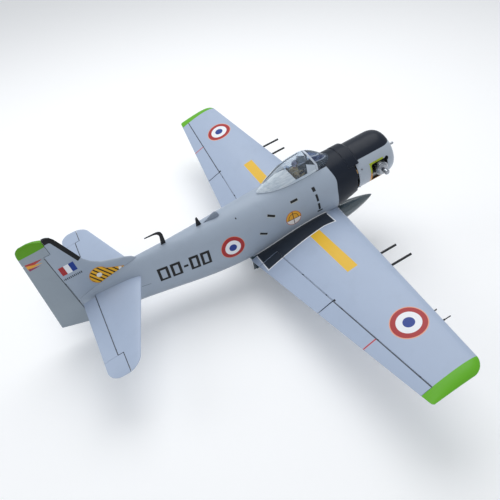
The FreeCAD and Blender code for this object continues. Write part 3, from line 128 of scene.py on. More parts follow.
class Material:
    """A material whose colour is built up by painting masks over a base colour."""

    def __init__(self, name, base=None):
        self.material = bpy.data.materials.new(name)
        self.material.use_nodes = True
        self.tree = self.material.node_tree
        self.tree.nodes.clear()
        self.output = self.node("OutputMaterial")
        self.shader = self.node("BsdfPrincipled")
        self.put(self.output.inputs[0], self.shader.outputs[0])
        self.coordinates = self.node("TexCoord").outputs
        self.colour = base

    def node(self, kind, **settings):
        node = self.tree.nodes.new("ShaderNode" + kind)
        for key, value in settings.items():
            setattr(node, key, value)
        return node

    def put(self, socket, value):
        """Link a value or socket into a socket, or set a number or #rrggbb colour on it."""
        if isinstance(value, Value):
            value = value.socket
        if isinstance(value, bpy.types.NodeSocket):
            self.tree.links.new(value, socket)
        else:
            socket.default_value = linear(value) if isinstance(value, str) else value

    def math(self, operation, *inputs, clamp=False):
        node = self.node("Math", operation=operation, use_clamp=clamp)
        for socket, value in zip(node.inputs, inputs):
            self.put(socket, value)
        return Value(self, node.outputs[0])

    def dot(self, first, second):
        node = self.node("VectorMath", operation="DOT_PRODUCT")
        self.put(node.inputs[0], first)
        self.put(node.inputs[1], second)
        return Value(self, node.outputs["Value"])

    @cached_property
    def x(self):
        return (self.dot(self.coordinates["Object"], (1000 * COS_TILT, 0, 1000 * SIN_TILT))
                + (-ORIGIN_X * COS_TILT - ORIGIN_Z * SIN_TILT))

    @cached_property
    def y(self):
        return self.dot(self.coordinates["Object"], (0, 1000, 0))

    @cached_property
    def z(self):
        return (self.dot(self.coordinates["Object"], (-1000 * SIN_TILT, 0, 1000 * COS_TILT))
                + (ORIGIN_X * SIN_TILT - ORIGIN_Z * COS_TILT))

    @cached_property
    def span(self):
        """Distance off the centreline, on either side."""
        return abs(self.y)

    @cached_property
    def up(self):
        """How far the surface faces up, -1..1."""
        return self.dot(self.coordinates["Normal"], (-SIN_TILT, 0, COS_TILT))

    def stretched(self, x=1.0, y=1.0, z=1.0):
        """Drawing-frame place with each axis scaled, as a vector socket."""
        node = self.node("CombineXYZ")
        for socket, value, scale in zip(node.inputs, (self.x, self.y, self.z), (x, y, z)):
            self.put(socket, value * scale if scale != 1.0 else value)
        return node.outputs[0]

    @cached_property
    def place(self):
        return self.stretched()

    def noise(self, size, detail=2.0, rough=0.5, twist=0.0, vector=None):
        """Noise 0..1 with features of the given size in millimetres."""
        node = self.node("TexNoise")
        self.put(node.inputs["Vector"], vector or self.place)
        for key, value in (("Scale", 1.0 / size), ("Detail", detail), ("Roughness", rough),
                           ("Distortion", twist)):
            node.inputs[key].default_value = value
        return Value(self, node.outputs["Fac"])

    def box(self, u, v, u_range, v_range, soft=0.5):
        return (u.above(u_range[0], soft) * u.below(u_range[1], soft)
                * v.above(v_range[0], soft) * v.below(v_range[1], soft))

    def distance(self, u, v, centre=(0.0, 0.0), stretch=(1.0, 1.0)):
        across = (u - centre[0]) * stretch[0]
        along = (v - centre[1]) * stretch[1]
        return self.math("SQRT", self.math("MULTIPLY_ADD", across, across, along * along))

    def turned(self, centre, angle):
        """Coordinates along and across a line in the side view, through (x, z) centre."""
        x, z, cos, sin = self.x, self.z, math.cos(angle), math.sin(angle)
        return ((x - centre[0]) * cos + (z - centre[1]) * sin,
                (z - centre[1]) * cos - (x - centre[0]) * sin)

    def mix(self, amount, first, second, blend="MIX"):
        node = self.node("Mix", data_type="RGBA", blend_type=blend)
        for i, value in ((0, amount), (6, first), (7, second)):
            self.put(node.inputs[i], value)
        return node.outputs[2]

    def paint(self, mask, colour, blend="MIX"):
        self.colour = self.mix(mask, self.colour, colour, blend)

    def rings(self, distance, rings, where=None):
        """Paint discs over each other from rows of radius, edge softness, colour."""
        for radius, soft, colour in rings:
            disc = distance.below(radius, soft)
            self.paint(disc * where if where else disc, colour)

    def rib_ridges(self, half_pitch):
        """Height of the film where it laps over evenly spaced ribs."""
        to_rib = abs(self.math("WRAP", self.span, half_pitch, -half_pitch))
        return self.math("SMOOTH_MIN", to_rib * 0.12, 1.0, 0.5) * 0.05

    def bump(self, height, strength=1.0, normal=None):
        node = self.node("Bump")
        node.inputs["Strength"].default_value = strength
        node.inputs["Distance"].default_value = 0.001
        self.put(node.inputs["Height"], height)
        if normal is not None:
            self.put(node.inputs["Normal"], normal)
        self.put(self.shader.inputs["Normal"], node.outputs[0])

    def finish(self, rough=0.35, metal=0.0, coat=0.0, coat_rough=0.08, spec=0.5,
               tint=0.05, tint_size=90.0,  # shade variation and its size
               grain=1.2, bump=0.03,       # size and height of the fine bumps
               wave=0.0, height=None,      # slow waviness, and any height of the piece's own
               edge=0.9, wear=0.35, wear_colour="#c9ccd0",  # edge rounding and its scuffs
               dirt=0.12):
        """Add shade variation, worn edges, dirt, roughness and bumps to the painted colour."""
        rough_spread = 0.10
        large, middle, fine = (self.noise(tint_size, 3.0), self.noise(tint_size / 7.0, 3.0, 0.6),
                               self.noise(grain))
        shade = large.scaled(2 * tint, 1.0 - tint) + (middle - 0.5) * (tint * 0.8)
        grey = self.node("CombineColor")
        for i in range(3):
            self.put(grey.inputs[i], shade)
        self.paint(1.0, grey.outputs[0], "MULTIPLY")
        normal = None
        if edge:
            bevel = self.node("Bevel", samples=3)
            bevel.inputs["Radius"].default_value = edge / 1000.0
            normal = bevel.outputs[0]
            flat = self.dot(normal, self.node("NewGeometry").outputs["Normal"])
            rim = flat.ramp(gain=-9.0, offset=8.8)
            scuff = middle.ramp(gain=6.0, offset=-2.6)
            self.paint(rim * scuff * wear, wear_colour)
        if dirt:
            grime = self.noise(tint_size * 0.45, 5.0, 0.65).ramp(gain=3.0, offset=-1.55)
            self.paint(grime * dirt, "#3a3a38")
        roughness = (middle.scaled(rough_spread * 1.4, rough - rough_spread * 0.7)
                     + (fine - 0.5) * (rough_spread * 0.5))
        for key, value in (("Base Color", self.colour), ("Roughness", roughness),
                           ("Metallic", metal), ("Coat Weight", coat),
                           ("Coat Roughness", coat_rough), ("Specular IOR Level", spec)):
            self.put(self.shader.inputs[key], value)
        relief = fine * bump
        if wave:
            relief = relief + self.noise(tint_size * 0.35, 1.0) * wave
        if height is not None:
            relief = relief + height
        self.bump(relief, normal=normal)
        return self.material


# ------------------------------------------------------------------ film and paint
SKIN, UNDERSIDE, GREY, NAVY = "#a7b5cb", "#b9c3d0", "#a0acbb", "#1a212d"
RED, WHITE, BLUE = "#a62c30", "#e9ebef", "#1f3b8c"
ORANGE, GREEN, YELLOW = "#d9713c", "#63ae22", "#e3b634"
# painted shade for the hinge lines and for the join of flap and aileron
GROOVE_SHADE, HINGE_SHADE = "#24282e", "#2c3138"
FILM = dict(rough=0.36, coat=0.06, spec=0.28, tint=0.035, grain=1.6, bump=0.012,
            wear=0.45, wear_colour="#dfe4ea", edge=0.8)

WING_ROUNDEL = (-115.0, 669.5)  # x, span
WING_RINGS = [(55.2, 0.8, "#e3a184"), (52.4, 0.6, RED), (36.9, 0.6, WHITE), (17.6, 0.6, BLUE)]
# outboard edge of the walkway, the farthest out of three lines: x shift, slope, span
WALKWAY_EDGE = [(24.0, 0.1556, 154.0), (114.0, -0.0273, 148.5), (242.0, -0.142, 143.5)]
WALKWAY_BORDER = 4.0
WING_HATCHES = [(-215.0, 300.0), (-205.0, 700.0)]  # x, span
HATCH_HALF = (24.0, 15.0)
STRIPE_SPAN = 648.0
HINGE_SLOPE = 0.08
FLAP_END = 444.0


def paint_walkway(mat, topside):
    x = mat.x
    lines = [(x + shift) * slope + span for shift, slope, span in WALKWAY_EDGE]
    edge = lines[0] | lines[1] | lines[2]
    outside = ((x + 22.0) | ((x + 320.0) * -1.0) | (mat.span - edge)) + WALKWAY_BORDER
    mat.paint(outside.below(WALKWAY_BORDER) * topside, "#eceef2")
    tread = mat.mix(mat.noise(0.9), "#20262f", "#323a46")
    mat.paint(outside.below(0.0) * topside, tread)


def paint_wing_hinges(mat, topside):
    """Stripe across the aileron, with painted shade along the hinge lines and between flap and
    aileron.
    """
    x, span = mat.x, mat.span
    from_stripe = abs(span - STRIPE_SPAN)
    behind = (x + span * 0.0).below(span * HINGE_SLOPE - 266.0, soft=0.6)
    mat.paint(from_stripe.below(3.4, soft=2.2) * behind * topside * 0.6, "#d49aa2")
    mat.paint(from_stripe.below(1.7, soft=0.8) * behind * topside, "#ae2b3a")
    ahead = (x + 265.0) - (span * HINGE_SLOPE)
    from_hinge = abs(ahead)
    # painted shade along the hinge lines
    # span range, half width, strength, colour
    for start, end, half, strength, colour in ((FLAP_END, 860.0, 1.7, 0.9, GROOVE_SHADE),
                                               (108.0, FLAP_END, 0.9, 0.75, HINGE_SHADE)):
        mat.paint(from_hinge.below(half, soft=0.8) * span.above(start, soft=0.6)
                  * span.below(end, soft=0.6) * strength, colour)
    # painted shadow between flap and aileron
    gap_shadow = abs(span - (FLAP_END - 0.4)).below(2.0, soft=0.8) * ahead.below(0.5, soft=0.6)
    mat.paint(gap_shadow * 0.9, GROOVE_SHADE)
    mat.paint(mat.box(ahead, span, (2.0, 8.0), (441.0, 450.0)) * topside, "#23262c")


def wing_material(name, tip=True, band=True, walk=True, roundel=True):
    mat = Material(name, SKIN)
    x, span, up = mat.x, mat.span, mat.up
    topside = up.above(0.15, soft=0.2)
    mat.paint(0.0, SKIN)
    mat.paint(up.below(-0.1, soft=0.2) * 0.6, UNDERSIDE)
    if roundel:
        mat.rings(mat.distance(x, span, WING_ROUNDEL), WING_RINGS)
    if band:
        mat.paint(mat.box(x, span, (-132, -92), (140, 387)) * topside, YELLOW)
    if walk:
        paint_walkway(mat, topside)
    if tip:
        mat.paint(span.above(860.3), GREEN)
    paint_wing_hinges(mat, topside)
    # hatch outlines on the underside
    under = up.below(-0.15, soft=0.2)
    for hatch_x, hatch_span in WING_HATCHES:
        outside = (abs(x - hatch_x) - HATCH_HALF[0]) | (abs(span - hatch_span) - HATCH_HALF[1])
        mat.paint(abs(outside).below(0.5) * under, "#6c7684")
    return mat.finish(tint_size=150.0, wave=0.25, dirt=0.07, height=mat.rib_ridges(45.0), **FILM)


def stabiliser_material():
    mat = Material("stabiliser_film", SKIN)
    x, span = mat.x, mat.span
    hinge_x, horn_x, horn_span = -881.0, -863.0, 303.5
    mat.paint(mat.up.below(-0.1, soft=0.2) * 0.6, UNDERSIDE)
    # painted shade along the hinge line, along the same line farther forward at the tip, and
    # along the step between them
    inboard = abs(x + -hinge_x).below(1.5, soft=0.8) * span.below(horn_span, soft=0.6)
    outboard = abs(x + -horn_x).below(1.3, soft=0.8) * span.above(horn_span, soft=0.6)
    step = (abs(span - 304.0).below(1.2, soft=0.8) * x.above(hinge_x, soft=0.6)
            * x.below(-862.0, soft=0.6))
    mat.paint((inboard | outboard | step) * 0.85, HINGE_SHADE)
    return mat.finish(tint_size=130.0, wave=0.2, dirt=0.06, height=mat.rib_ridges(38.0), **FILM)


# side markings, seen in the x, z plane
FUSELAGE_ROUNDEL = (-394.0, 66.0)
FUSELAGE_RINGS = [(43.8, 0.5, ORANGE), (42.0, 0.5, RED), (29.0, 0.5, WHITE), (14.2, 0.5, BLUE)]
# identification blocks before slanting: x from, x to, z from, z to
BLOCKS = [(-668, -630, 62.7, 116.5), (-622, -586, 62.7, 116.5), (-578, -562, 85, 94),
          (-555, -521, 62.7, 116.5), (-514, -480, 62.7, 116.5)]
HOLLOW_HEIGHT = 20           # blocks taller than this are frames
BLOCK_RIM = (9.5, 9.0)       # rim of a frame in x and z
# vent slots: angle, x, z, half length
SLOTS = [(0.02, -131.0, 122.3, 14.0), (-0.518, -226.5, 111.4, 14.3), (-0.583, -274.0, 59.7, 15.4)]
DRAIN = (-342.2, 151.2)
DISC, DISC_RADIUS = (-152.4, 61.0), 30.0
# dashes in a column: x from, x to, z from, z to
DASHES = [(-56, -44, 121, 135), (-53, -44.5, 82, 110), (-53, -44.5, 44, 73), (-59, -38, 34, 41)]
TAIL_LINE = (-733, 76.5), (-700, 72.3)


def paint_blocks(mat, side):
    rise = mat.z + (mat.x + 667.0) * 0.075
    slant = mat.x - (rise - 62.7) * 0.1
    blocks = None
    for x0, x1, z0, z1 in BLOCKS:
        block = mat.box(slant, rise, (x0, x1), (z0, z1))
        if z1 - z0 > HOLLOW_HEIGHT:
            rim_x, rim_z = BLOCK_RIM
            block = block * (1.0 - mat.box(slant, rise, (x0 + rim_x, x1 - rim_x),
                                           (z0 + rim_z, z1 - rim_z)))
        blocks = block if blocks is None else blocks | block
    mat.paint(blocks * side, "#0d0f12")


def paint_slots(mat, side):
    """Vent slots drawn as painted shade, each with a pale lip round it."""
    for angle, x, z, half in SLOTS:
        along, across = mat.turned((x, z), angle)
        lip = mat.box(along, across, (-half - 1.0, half + 1.0), (-6.2, 4.6), soft=0.6)
        mat.paint(lip * side * 0.35, "#d5cfa8")
        # painted shade inside the slot
        mat.paint(mat.box(along, across, (-half, half), (-4.1, 4.1)) * side, "#17191c")


def paint_disc(mat, side):
    """Disc with a warm upper part, a pale lower part and a thin dark cross."""
    radius = mat.distance(mat.x, mat.z, DISC)
    ahead, rise = mat.x - DISC[0], mat.z - DISC[1]
    split = 4.0  # the two parts meet this far below the middle
    face = mat.mix((rise + split).above(0.0, soft=0.6), "#ebe6e4", "#e2a63a")
    face = mat.mix(radius.above(DISC_RADIUS - 2.2), face, "#b5562e")
    arc = abs(radius - DISC_RADIUS * 0.62).below(1.2) * (rise + split).above(0.0, soft=0.6)
    face = mat.mix(arc, face, "#6b4a22")
    cross = abs(rise + split).below(1.1) | abs(ahead).below(1.3)
    face = mat.mix(cross * radius.below(DISC_RADIUS - 1.0), face, "#3a2a33")
    mat.paint(radius.below(DISC_RADIUS) * side, face)


def paint_tail_line(mat, side):
    (x0, z0), (x1, z1) = TAIL_LINE
    along, across = mat.turned((x0, z0), math.atan2(z1 - z0, x1 - x0))
    line = along.above(0.0) * along.below(math.hypot(x1 - x0, z1 - z0)) * abs(across).below(0.7)
    mat.paint(line * side, "#4c525a")


def fuselage_material():
    mat = Material("fuselage_paint", GREY)
    x, z, span = mat.x, mat.z, mat.span
    mat.paint(0.0, GREY)
    side = span.above(30.0, soft=2.0)
    mat.rings(mat.distance(x, z, FUSELAGE_ROUNDEL), FUSELAGE_RINGS, side)
    paint_blocks(mat, side)
    paint_slots(mat, side)
    # painted shade in the drain
    mat.paint(mat.distance(x, z, DRAIN).below(2.4, soft=0.6) * side, "#23262b")
    paint_disc(mat, side)
    for x0, x1, z0, z1 in DASHES:
        mat.paint(mat.box(x, z, (x0, x1), (z0, z1)) * side, "#191c20")
    paint_tail_line(mat, side)
    # hatch outline under the belly
    outside = (abs(x + 455.0) - 55.0) | (span - 30.0)
    mat.paint(abs(outside).below(0.5) * z.below(-20.0, soft=1.0), "#5c646e")
    # black band behind the cowl, bowed forward at mid height, and the anti-glare deck
    bow_z, bow_height, bow_depth = 125.0, 28.0, 8.5
    hump = (z - bow_z) * (1 / bow_height)
    bow = mat.math("EXPONENT", (hump * hump) * -1.0)
    band = (x - bow * bow_depth).above(32.0, soft=0.6)
    deck = x.above(-9.8, soft=0.8) * z.above(161.3, soft=0.6)
    black = band | deck
    mat.paint(black, NAVY)
    # painted shadow where the side skin stops short of the cowl
    gap_shadow = x.above(127.0, soft=1.0) * z.below(132.0, soft=3.0) * span.above(40.0, soft=4.0)
    mat.paint(gap_shadow, "#060607")
    # painted shade: the sides turn darker towards the keel
    mat.paint(mat.up.ramp(gain=-0.75, offset=-0.05) * 0.5, "#4a4f55")
    return mat.finish(rough=0.4, coat=0.04, spec=black.scaled(gain=-0.14, offset=0.28), tint=0.03,
                      tint_size=120.0, grain=1.4, bump=0.010, wave=0.12, wear=0.4,
                      wear_colour="#c3c9d1", dirt=0.07)


FIN_HINGE_X, FIN_HINGE_SLOPE = -931.85, -0.0282
FIN_HORN_Z = 343.0
# tapering strokes on the rudder: x, z, half length, thickness, angle, colour
STREAKS = [(-974, 343, 27, 10, 0.10, "#b5403f"), (-977, 334, 24, 8, -0.08, "#e0a13a"),
           (-980, 326, 20, 5, -0.02, "#8e3a5a")]
FIN_STRIPES = [(-928, -911, RED), (-911, -894, WHITE), (-894, -877, BLUE)]  # x from, x to
# pennant outline: head radius, tail length, tail half width at the head
PENNANT_BODY = (33.0, 84.0, 27.0)
PENNANT_CORE = (30.8, 82.0, 24.8)


def finish_fin(mat):
    """Painted shade along the hinge seam, and the finish shared by fin and rudder."""
    seam = abs(mat.x - (mat.z * FIN_HINGE_SLOPE + FIN_HINGE_X))
    mat.paint(seam.below(1.5, soft=0.9) * mat.z.below(FIN_HORN_Z) * 0.8, "#33383e")
    return mat.finish(rough=0.37, coat=0.06, spec=0.25, tint=0.03, tint_size=110.0, grain=1.5,
                      bump=0.010, wave=0.15, wear=0.4, wear_colour="#dfe4ea", dirt=0.06)


def rudder_material():
    mat = Material("rudder_paint", "#949fa9")
    mat.paint(0.0, GREY)
    mat.paint((mat.z - (mat.x + 960.0) * 0.075).above(378.0), "#5a9a0e")  # cap across the top
    for x, z, half, thickness, angle, colour in STREAKS:
        along, across = mat.turned((x, z), angle)
        across = abs(across)
        width = (along * (-thickness / (2 * half))) + thickness * 0.5
        mat.paint(along.above(-half) * along.below(half) * across.below(width), colour)
    return finish_fin(mat)


def paint_pennant(mat):
    """Striped pennant with a round head and a tapering tail."""
    x, z = mat.x, mat.z
    angle = math.radians(-13)
    cos, sin = math.cos(angle), math.sin(angle)
    along = (x + 832.0) * cos + (z - 187.0) * sin
    across = (z - 187.0) * cos - (x + 832.0) * sin
    head = mat.distance(along, across)
    taper = abs(across) + along * 0.26
    body, core = [
        head.below(radius) | (along.above(0.0) * along.below(length) * taper.below(half))
        for radius, length, half in (PENNANT_BODY, PENNANT_CORE)]
    stripe = (along + across * 0.9).pingpong(8.5)
    fill = mat.mix(stripe.above(5.4), "#edb32c", "#1b1b1d")
    fill = mat.mix(head.below(9.0), fill, "#ece9e2")
    fill = mat.mix(along.above(66.0) * along.below(76.0), fill, "#ece9e2")
    mat.paint(body, mat.mix(core, "#c98a22", fill))


def fin_material():
    mat = Material("fin_paint", GREY)
    x, z = mat.x, mat.z
    mat.paint(0.0, GREY)
    for x0, x1, colour in FIN_STRIPES:
        mat.paint(mat.box(x, z, (x0, x1), (250, 285), soft=0.4), colour)
    # row of plain ticks below the stripes
    tick = x.pingpong(3.0)
    mat.paint(mat.box(x, z, (-933, -871), (229.0, 237.5)) * tick.above(1.2), "#3b4048")
    paint_pennant(mat)
    # black de-icing boot over the tip and down the leading edge
    forward = (x + 863.0) * 0.944 + (z - 275.0) * 0.331
    over_tip = z - 385.5
    over_end = (x + 863.0) * -0.387 + (z - 275.0) * 0.922
    boot = mat.math("SMOOTH_MAX", forward, over_tip, 9.0)
    mat.paint(boot.above(0.0) * over_end.above(0.0), "#0d1014")
    return finish_fin(mat)


def cowl_material():
    mat = Material("cowl_paint", "#a9b3bf")
    x, y, z = mat.x, mat.y, mat.z
    shoulder_z = 136.0

    def over_shoulder():
        return z.above(shoulder_z, soft=0.6)

    mat.paint(over_shoulder(), NAVY)
    # faces turned towards the axis get painted shade, near black, with raw laminate near the
    # cheek opening
    rise = z - COWL_AXIS_Z
    radius = mat.math("SQRT", mat.math("MULTIPLY_ADD", rise, rise, y * y))
    sideways = mat.dot(mat.coordinates["Normal"], (0, 1, 0))
    outward = mat.math("MULTIPLY_ADD", rise, mat.up, y * sideways) / radius
    raw = mat.mix(mat.noise(2.6, 3.0, 0.6), "#6d5c1c", "#c98a1e")
    near = x.above(172.0, soft=6.0) * x.below(270.0, soft=6.0) * y.below(-20.0, soft=8.0)
    mat.paint(outward.below(-0.45, soft=0.2), mat.mix(near, "#141516", raw))
    # sanded laminate in a ragged margin round the cheek opening, on the right side
    outside = (abs(x - 224.0) - 34.0) | (abs(z - 62.0) - 40.0)
    ragged = outside + mat.noise(5.0) * 3.0
    margin = ragged.below(8.6, soft=0.7) * x.below(243.0, soft=3.0) * y.below(-20.0, soft=2.0)
    sanded = mat.mix(z.above(70.0, soft=18.0), "#d08a24", "#a6b822")
    spots = mat.noise(4.0, 4.0, 0.7).ramp(gain=5.0, offset=-2.6)
    mat.paint(margin, mat.mix(spots, sanded, "#5a4a12"))
    # painted shadow: a dark disc where the cowl is open at the front top corner
    hole_shadow = mat.distance(x, z, (256.0, 98.0)).below(8.2)
    mat.paint(hole_shadow * y.below(-20.0, soft=2.0), "#08090a")
    return mat.finish(rough=0.36, coat=over_shoulder().scaled(gain=-0.02, offset=0.06),
                      spec=over_shoulder().scaled(gain=-0.12, offset=0.3), coat_rough=0.06,
                      tint=0.03, tint_size=80.0, grain=1.3, bump=0.008, wave=0.08,
                      wear_colour="#aeb4bb", edge=1.0, dirt=0.06)


def canopy_material():
    mat = Material("canopy_fairing", "#b9c7d3")
    x, y, z = mat.x, mat.y, mat.z
    # painted reflection: pale streaks along the fairing
    streak = mat.noise(7.0, 3.0, 0.55, 0.3, mat.stretched(x=0.06))
    mat.paint(streak.ramp(gain=3.0, offset=-1.0), "#dfe8ef")
    # painted shade left of the crest, then the grey skirt
    strip = (y.above(4.0, soft=1.0) * y.below(9.0, soft=1.0) * x.below(-112.0, soft=2.0)
             * z.above(176.0, soft=2.0))
    mat.paint(strip * 0.75, "#4b5058")
    mat.paint((z + x * 0.02).below(160.5, soft=0.8), GREY)
    return mat.finish(rough=0.28, coat=0.3, spec=0.4, tint=0.03, tint_size=60, bump=0.008,
                      wear=0.3, wear_colour="#e5e9ee", edge=0.6, dirt=0.03, coat_rough=0.05)


def arch_material():
    mat = Material("windscreen_arch_paint", "#cfd7e2")
    mat.paint(mat.noise(9.0, 3.0), "#bcc6d4")
    return mat.finish(rough=0.3, coat=0.2, spec=0.4, tint=0.03, tint_size=40, grain=1.0,
                      bump=0.008, wear=0.4, wear_colour="#f0f3f6", edge=0.5, dirt=0.03)


def antenna_material():
    mat = Material("antenna_paint", "#16181b")
    mat.paint(mat.noise(7.0, 3.0), "#22252a")
    mat.paint(mat.x.above(-449.0), mat.mix(mat.noise(12.0, 3.0), "#8f99a8", "#7c8796"))
    return mat.finish(rough=0.38, tint=0.04, tint_size=20, grain=0.7, bump=0.02, spec=0.25,
                      wear=0.4, wear_colour="#9a9ea3", edge=0.5)


def fillet_material():
    mat = Material("wing_root_fillet_paint", "#9aa6b4")
    mat.paint(mat.noise(9.0, 3.0), "#a3aebb")
    across = Value(mat, mat.node("Attribute", attribute_name="across").outputs["Fac"])
    tread_start = 0.34  # share of the way out where the dark tread begins
    walk = mat.x.below(-24.0, soft=1.0) * mat.x.above(-322.0, soft=1.0)
    mat.paint(across.below(tread_start, soft=0.05) * walk, "#e6e9ed")
    tread = mat.mix(mat.noise(0.9), "#20262f", "#303843")
    mat.paint(across.above(tread_start, soft=0.05) * walk, tread)
    return mat.finish(rough=0.4, coat=0.04, spec=0.25, tint=0.03, bump=0.02, edge=0.0, dirt=0.08)


# ------------------------------------------------------------------ other materials
def mottled(name, colour, second, blotch=14.0, **finish):
    """Two colours mixed in blotches of the given size."""
    mat = Material(name, colour)
    mat.paint(mat.noise(blotch, 4.0, 0.6), second)
    return mat.finish(**finish)


def wood_material():
    mat = Material("birch_ply", "#c9a26a")
    mat.paint(mat.noise(10.0, 4.0, 0.6, 0.6, mat.stretched(x=0.08)), "#a9804b")
    plies = mat.noise(4.0, vector=mat.stretched(x=0.05, y=0.05)).pingpong(0.12) * 6.0
    mat.paint(plies * 0.35, "#7d5a30")
    return mat.finish(rough=0.62, tint_size=40.0, grain=0.8, bump=0.05, wear=0.2, edge=0.4,
                      spec=0.3)


def carbon_material():
    mat = Material("carbon_tube", "#15171a")
    warp = (mat.x + mat.z * 0.7).pingpong(1.2)
    weft = (mat.y + mat.z * 0.7).pingpong(1.2)
    weave = (warp - weft).above(0.0, soft=0.4)
    mat.paint(weave, "#2c3035")
    return mat.finish(rough=0.3, coat=0.6, tint=0.03, tint_size=30, grain=0.6, bump=0.02,
                      wear=0.1, edge=0.3, height=weave * 0.02)


def windscreen_marks(mat, streak):
    """Rows of mask, colour, opacity: painted dark reflection band, two glints, crest strip,
    bottom seal.
    """
    x, z, span = mat.x, mat.z, mat.span
    beside = span.above(9.0, soft=4.0)
    # painted reflection: a dark streaky band across the upper windscreen
    band = ((z + x * 0.30).above(196.0, soft=5.0) * (z + x * 0.50).below(232.0, soft=4.0)
            * beside)
    marks = [(band, mat.mix(streak.ramp(gain=3.0, offset=-1.0), "#2a3450", "#6f80a6"), 0.62)]
    for height, half, slope in ((198.0, 0.9, 0.30), (216.5, 1.3, 0.42)):
        glint = abs(z + x * slope - height).below(half, soft=1.6) * beside
        marks.append((glint, "#c9d3e2", 0.55))
    marks.append((span.below(9.0, soft=4.0) * z.above(186.0, soft=3.0), "#59636f", 0.7))
    marks.append(((z - x * 0.05).below(163.0, soft=1.0), "#1c2128", 0.95))
    return marks


def canopy_marks(mat, streak):
    """Rows of mask, colour, opacity: low gusset behind the arch, painted glare along the crest,
    painted shade left of it.
    """
    x, y, z = mat.x, mat.y, mat.z
    gusset = (z + x * 0.5676).below(185.4, soft=0.6) * (x - z * 0.13).above(-65.0, soft=0.6)
    crest = mat.span.below(16.0, soft=10.0) * x.below(-60.0, soft=50.0)
    far_side_shade = y.above(2.0, soft=1.5) * y.below(8.0, soft=3.0) * x.below(-40.0, soft=12.0)
    glare = mat.mix(streak.ramp(gain=3.0, offset=-1.0), "#aab9c8", "#e2eaf1")
    return [(gusset, "#c5d0dc", 0.93), (crest, glare, 0.5), (far_side_shade, "#4a505a", 0.75)]


def glass_material(name, tint, film, marks):
    """Thin clear sheet that reflects more at grazing angles, with haze and opaque marks."""
    mat = Material(name, "#d3deea")
    mat.paint(0.0, "#d3deea")
    weight = mat.node("LayerWeight")
    weight.inputs["Blend"].default_value = 0.22
    facing = Value(mat, weight.outputs["Facing"])
    haze = mat.noise(26.0, 3.0, 0.55)
    streak = mat.noise(5.0, 3.0, 0.6, 0.4, mat.stretched(x=0.12))
    opacity = mat.math("POWER", facing, 2.6).ramp(gain=0.42, offset=film)
    # painted reflection: pale streaks raise the opacity
    streaks = streak.ramp(gain=3.2, offset=-1.75) * 0.22
    opacity = mat.math("ADD", opacity, streaks, clamp=True)
    opacity = mat.math("ADD", opacity, (haze - 0.5) * 0.10, clamp=True)
    for mask, colour, solid in marks(mat, streak):
        mat.paint(mask, colour)
        opacity = opacity | (mask * solid)
    mat.put(mat.shader.inputs["Base Color"], mat.colour)
    mat.put(mat.shader.inputs["Roughness"], haze.scaled(gain=0.06, offset=0.08))
    mat.shader.inputs["Specular IOR Level"].default_value = 0.5
    mat.bump(mat.noise(34.0, 1.0) * 0.6 + mat.noise(3.0) * 0.01, strength=0.4)
    clear = mat.node("BsdfTransparent")
    mat.put(clear.inputs[0], tint)
    blend = mat.node("MixShader")
    for socket, value in zip(blend.inputs, (opacity, clear.outputs[0], mat.shader.outputs[0])):
        mat.put(socket, value)
    mat.put(mat.output.inputs[0], blend.outputs[0])
    return mat.material


def cloth(name, colour, second, fold=0.35, rough=0.8):
    """Woven cloth with folds of the given height."""
    mat = Material(name, colour)
    mat.paint(mat.noise(9.0, 4.0, 0.6), second)
    weave = (mat.x + mat.z).pingpong(0.28) + (mat.y - mat.z).pingpong(0.28)
    folds = mat.noise(5.5, twist=1.2) * fold
    return mat.finish(rough=rough, tint=0.08, tint_size=12, grain=0.35, bump=0.05, wear=0.25,
                      wear_colour="#d8ceb8", edge=0.5, spec=0.2, dirt=0.15,
                      height=weave * 0.12 + folds)


def face_material():
    mat = Material("face_skin", "#c99a78")
    ahead, span, rise = mat.x + -HEAD.x, mat.span, mat.z - HEAD.z
    mouth_drop = 5.25
    mat.paint(mat.noise(2.2, 3.0, 0.6), "#b98464")
    front = ahead.above(3.0, soft=1.0)
    cheek = mat.distance(span, rise, (4.4, -1.8)).below(2.0, soft=2.4)
    mat.paint(cheek * front * 0.35, "#c77a62")
    from_lips = mat.distance(span, rise + mouth_drop, stretch=(0.42, 1.15))
    mat.paint(from_lips.below(1.0, soft=0.35) * front * 0.7, "#a8584c")
    # painted shade in the crease between the lips
    parting = abs(rise + mouth_drop).below(0.16, soft=0.14) * span.below(2.1, soft=0.4)
    mat.paint(parting * front * 0.8, "#5b2c26")
    brow = (abs(rise - 3.1 + span * 0.06).below(0.42, soft=0.3) * span.above(1.4)
            * span.below(4.7, soft=0.6) * front)
    mat.paint(brow * 0.85, "#4a3324")
    return mat.finish(rough=0.5, tint_size=8, grain=0.4, edge=0.0, spec=0.35, dirt=0.0)


def eye_material():
    mat = Material("eye_enamel", "#e6e2da")
    radius = mat.distance(mat.span, mat.z, (EYE_Y, HEAD.z + EYE_RISE))
    mat.rings(radius, [(0.62, 0.1, "#5a4630"), (0.28, 0.08, "#0b0a0a")])
    return mat.finish(rough=0.15, coat=0.5, tint=0.02, tint_size=4, grain=0.3, bump=0.0,
                      edge=0.0, dirt=0.0)


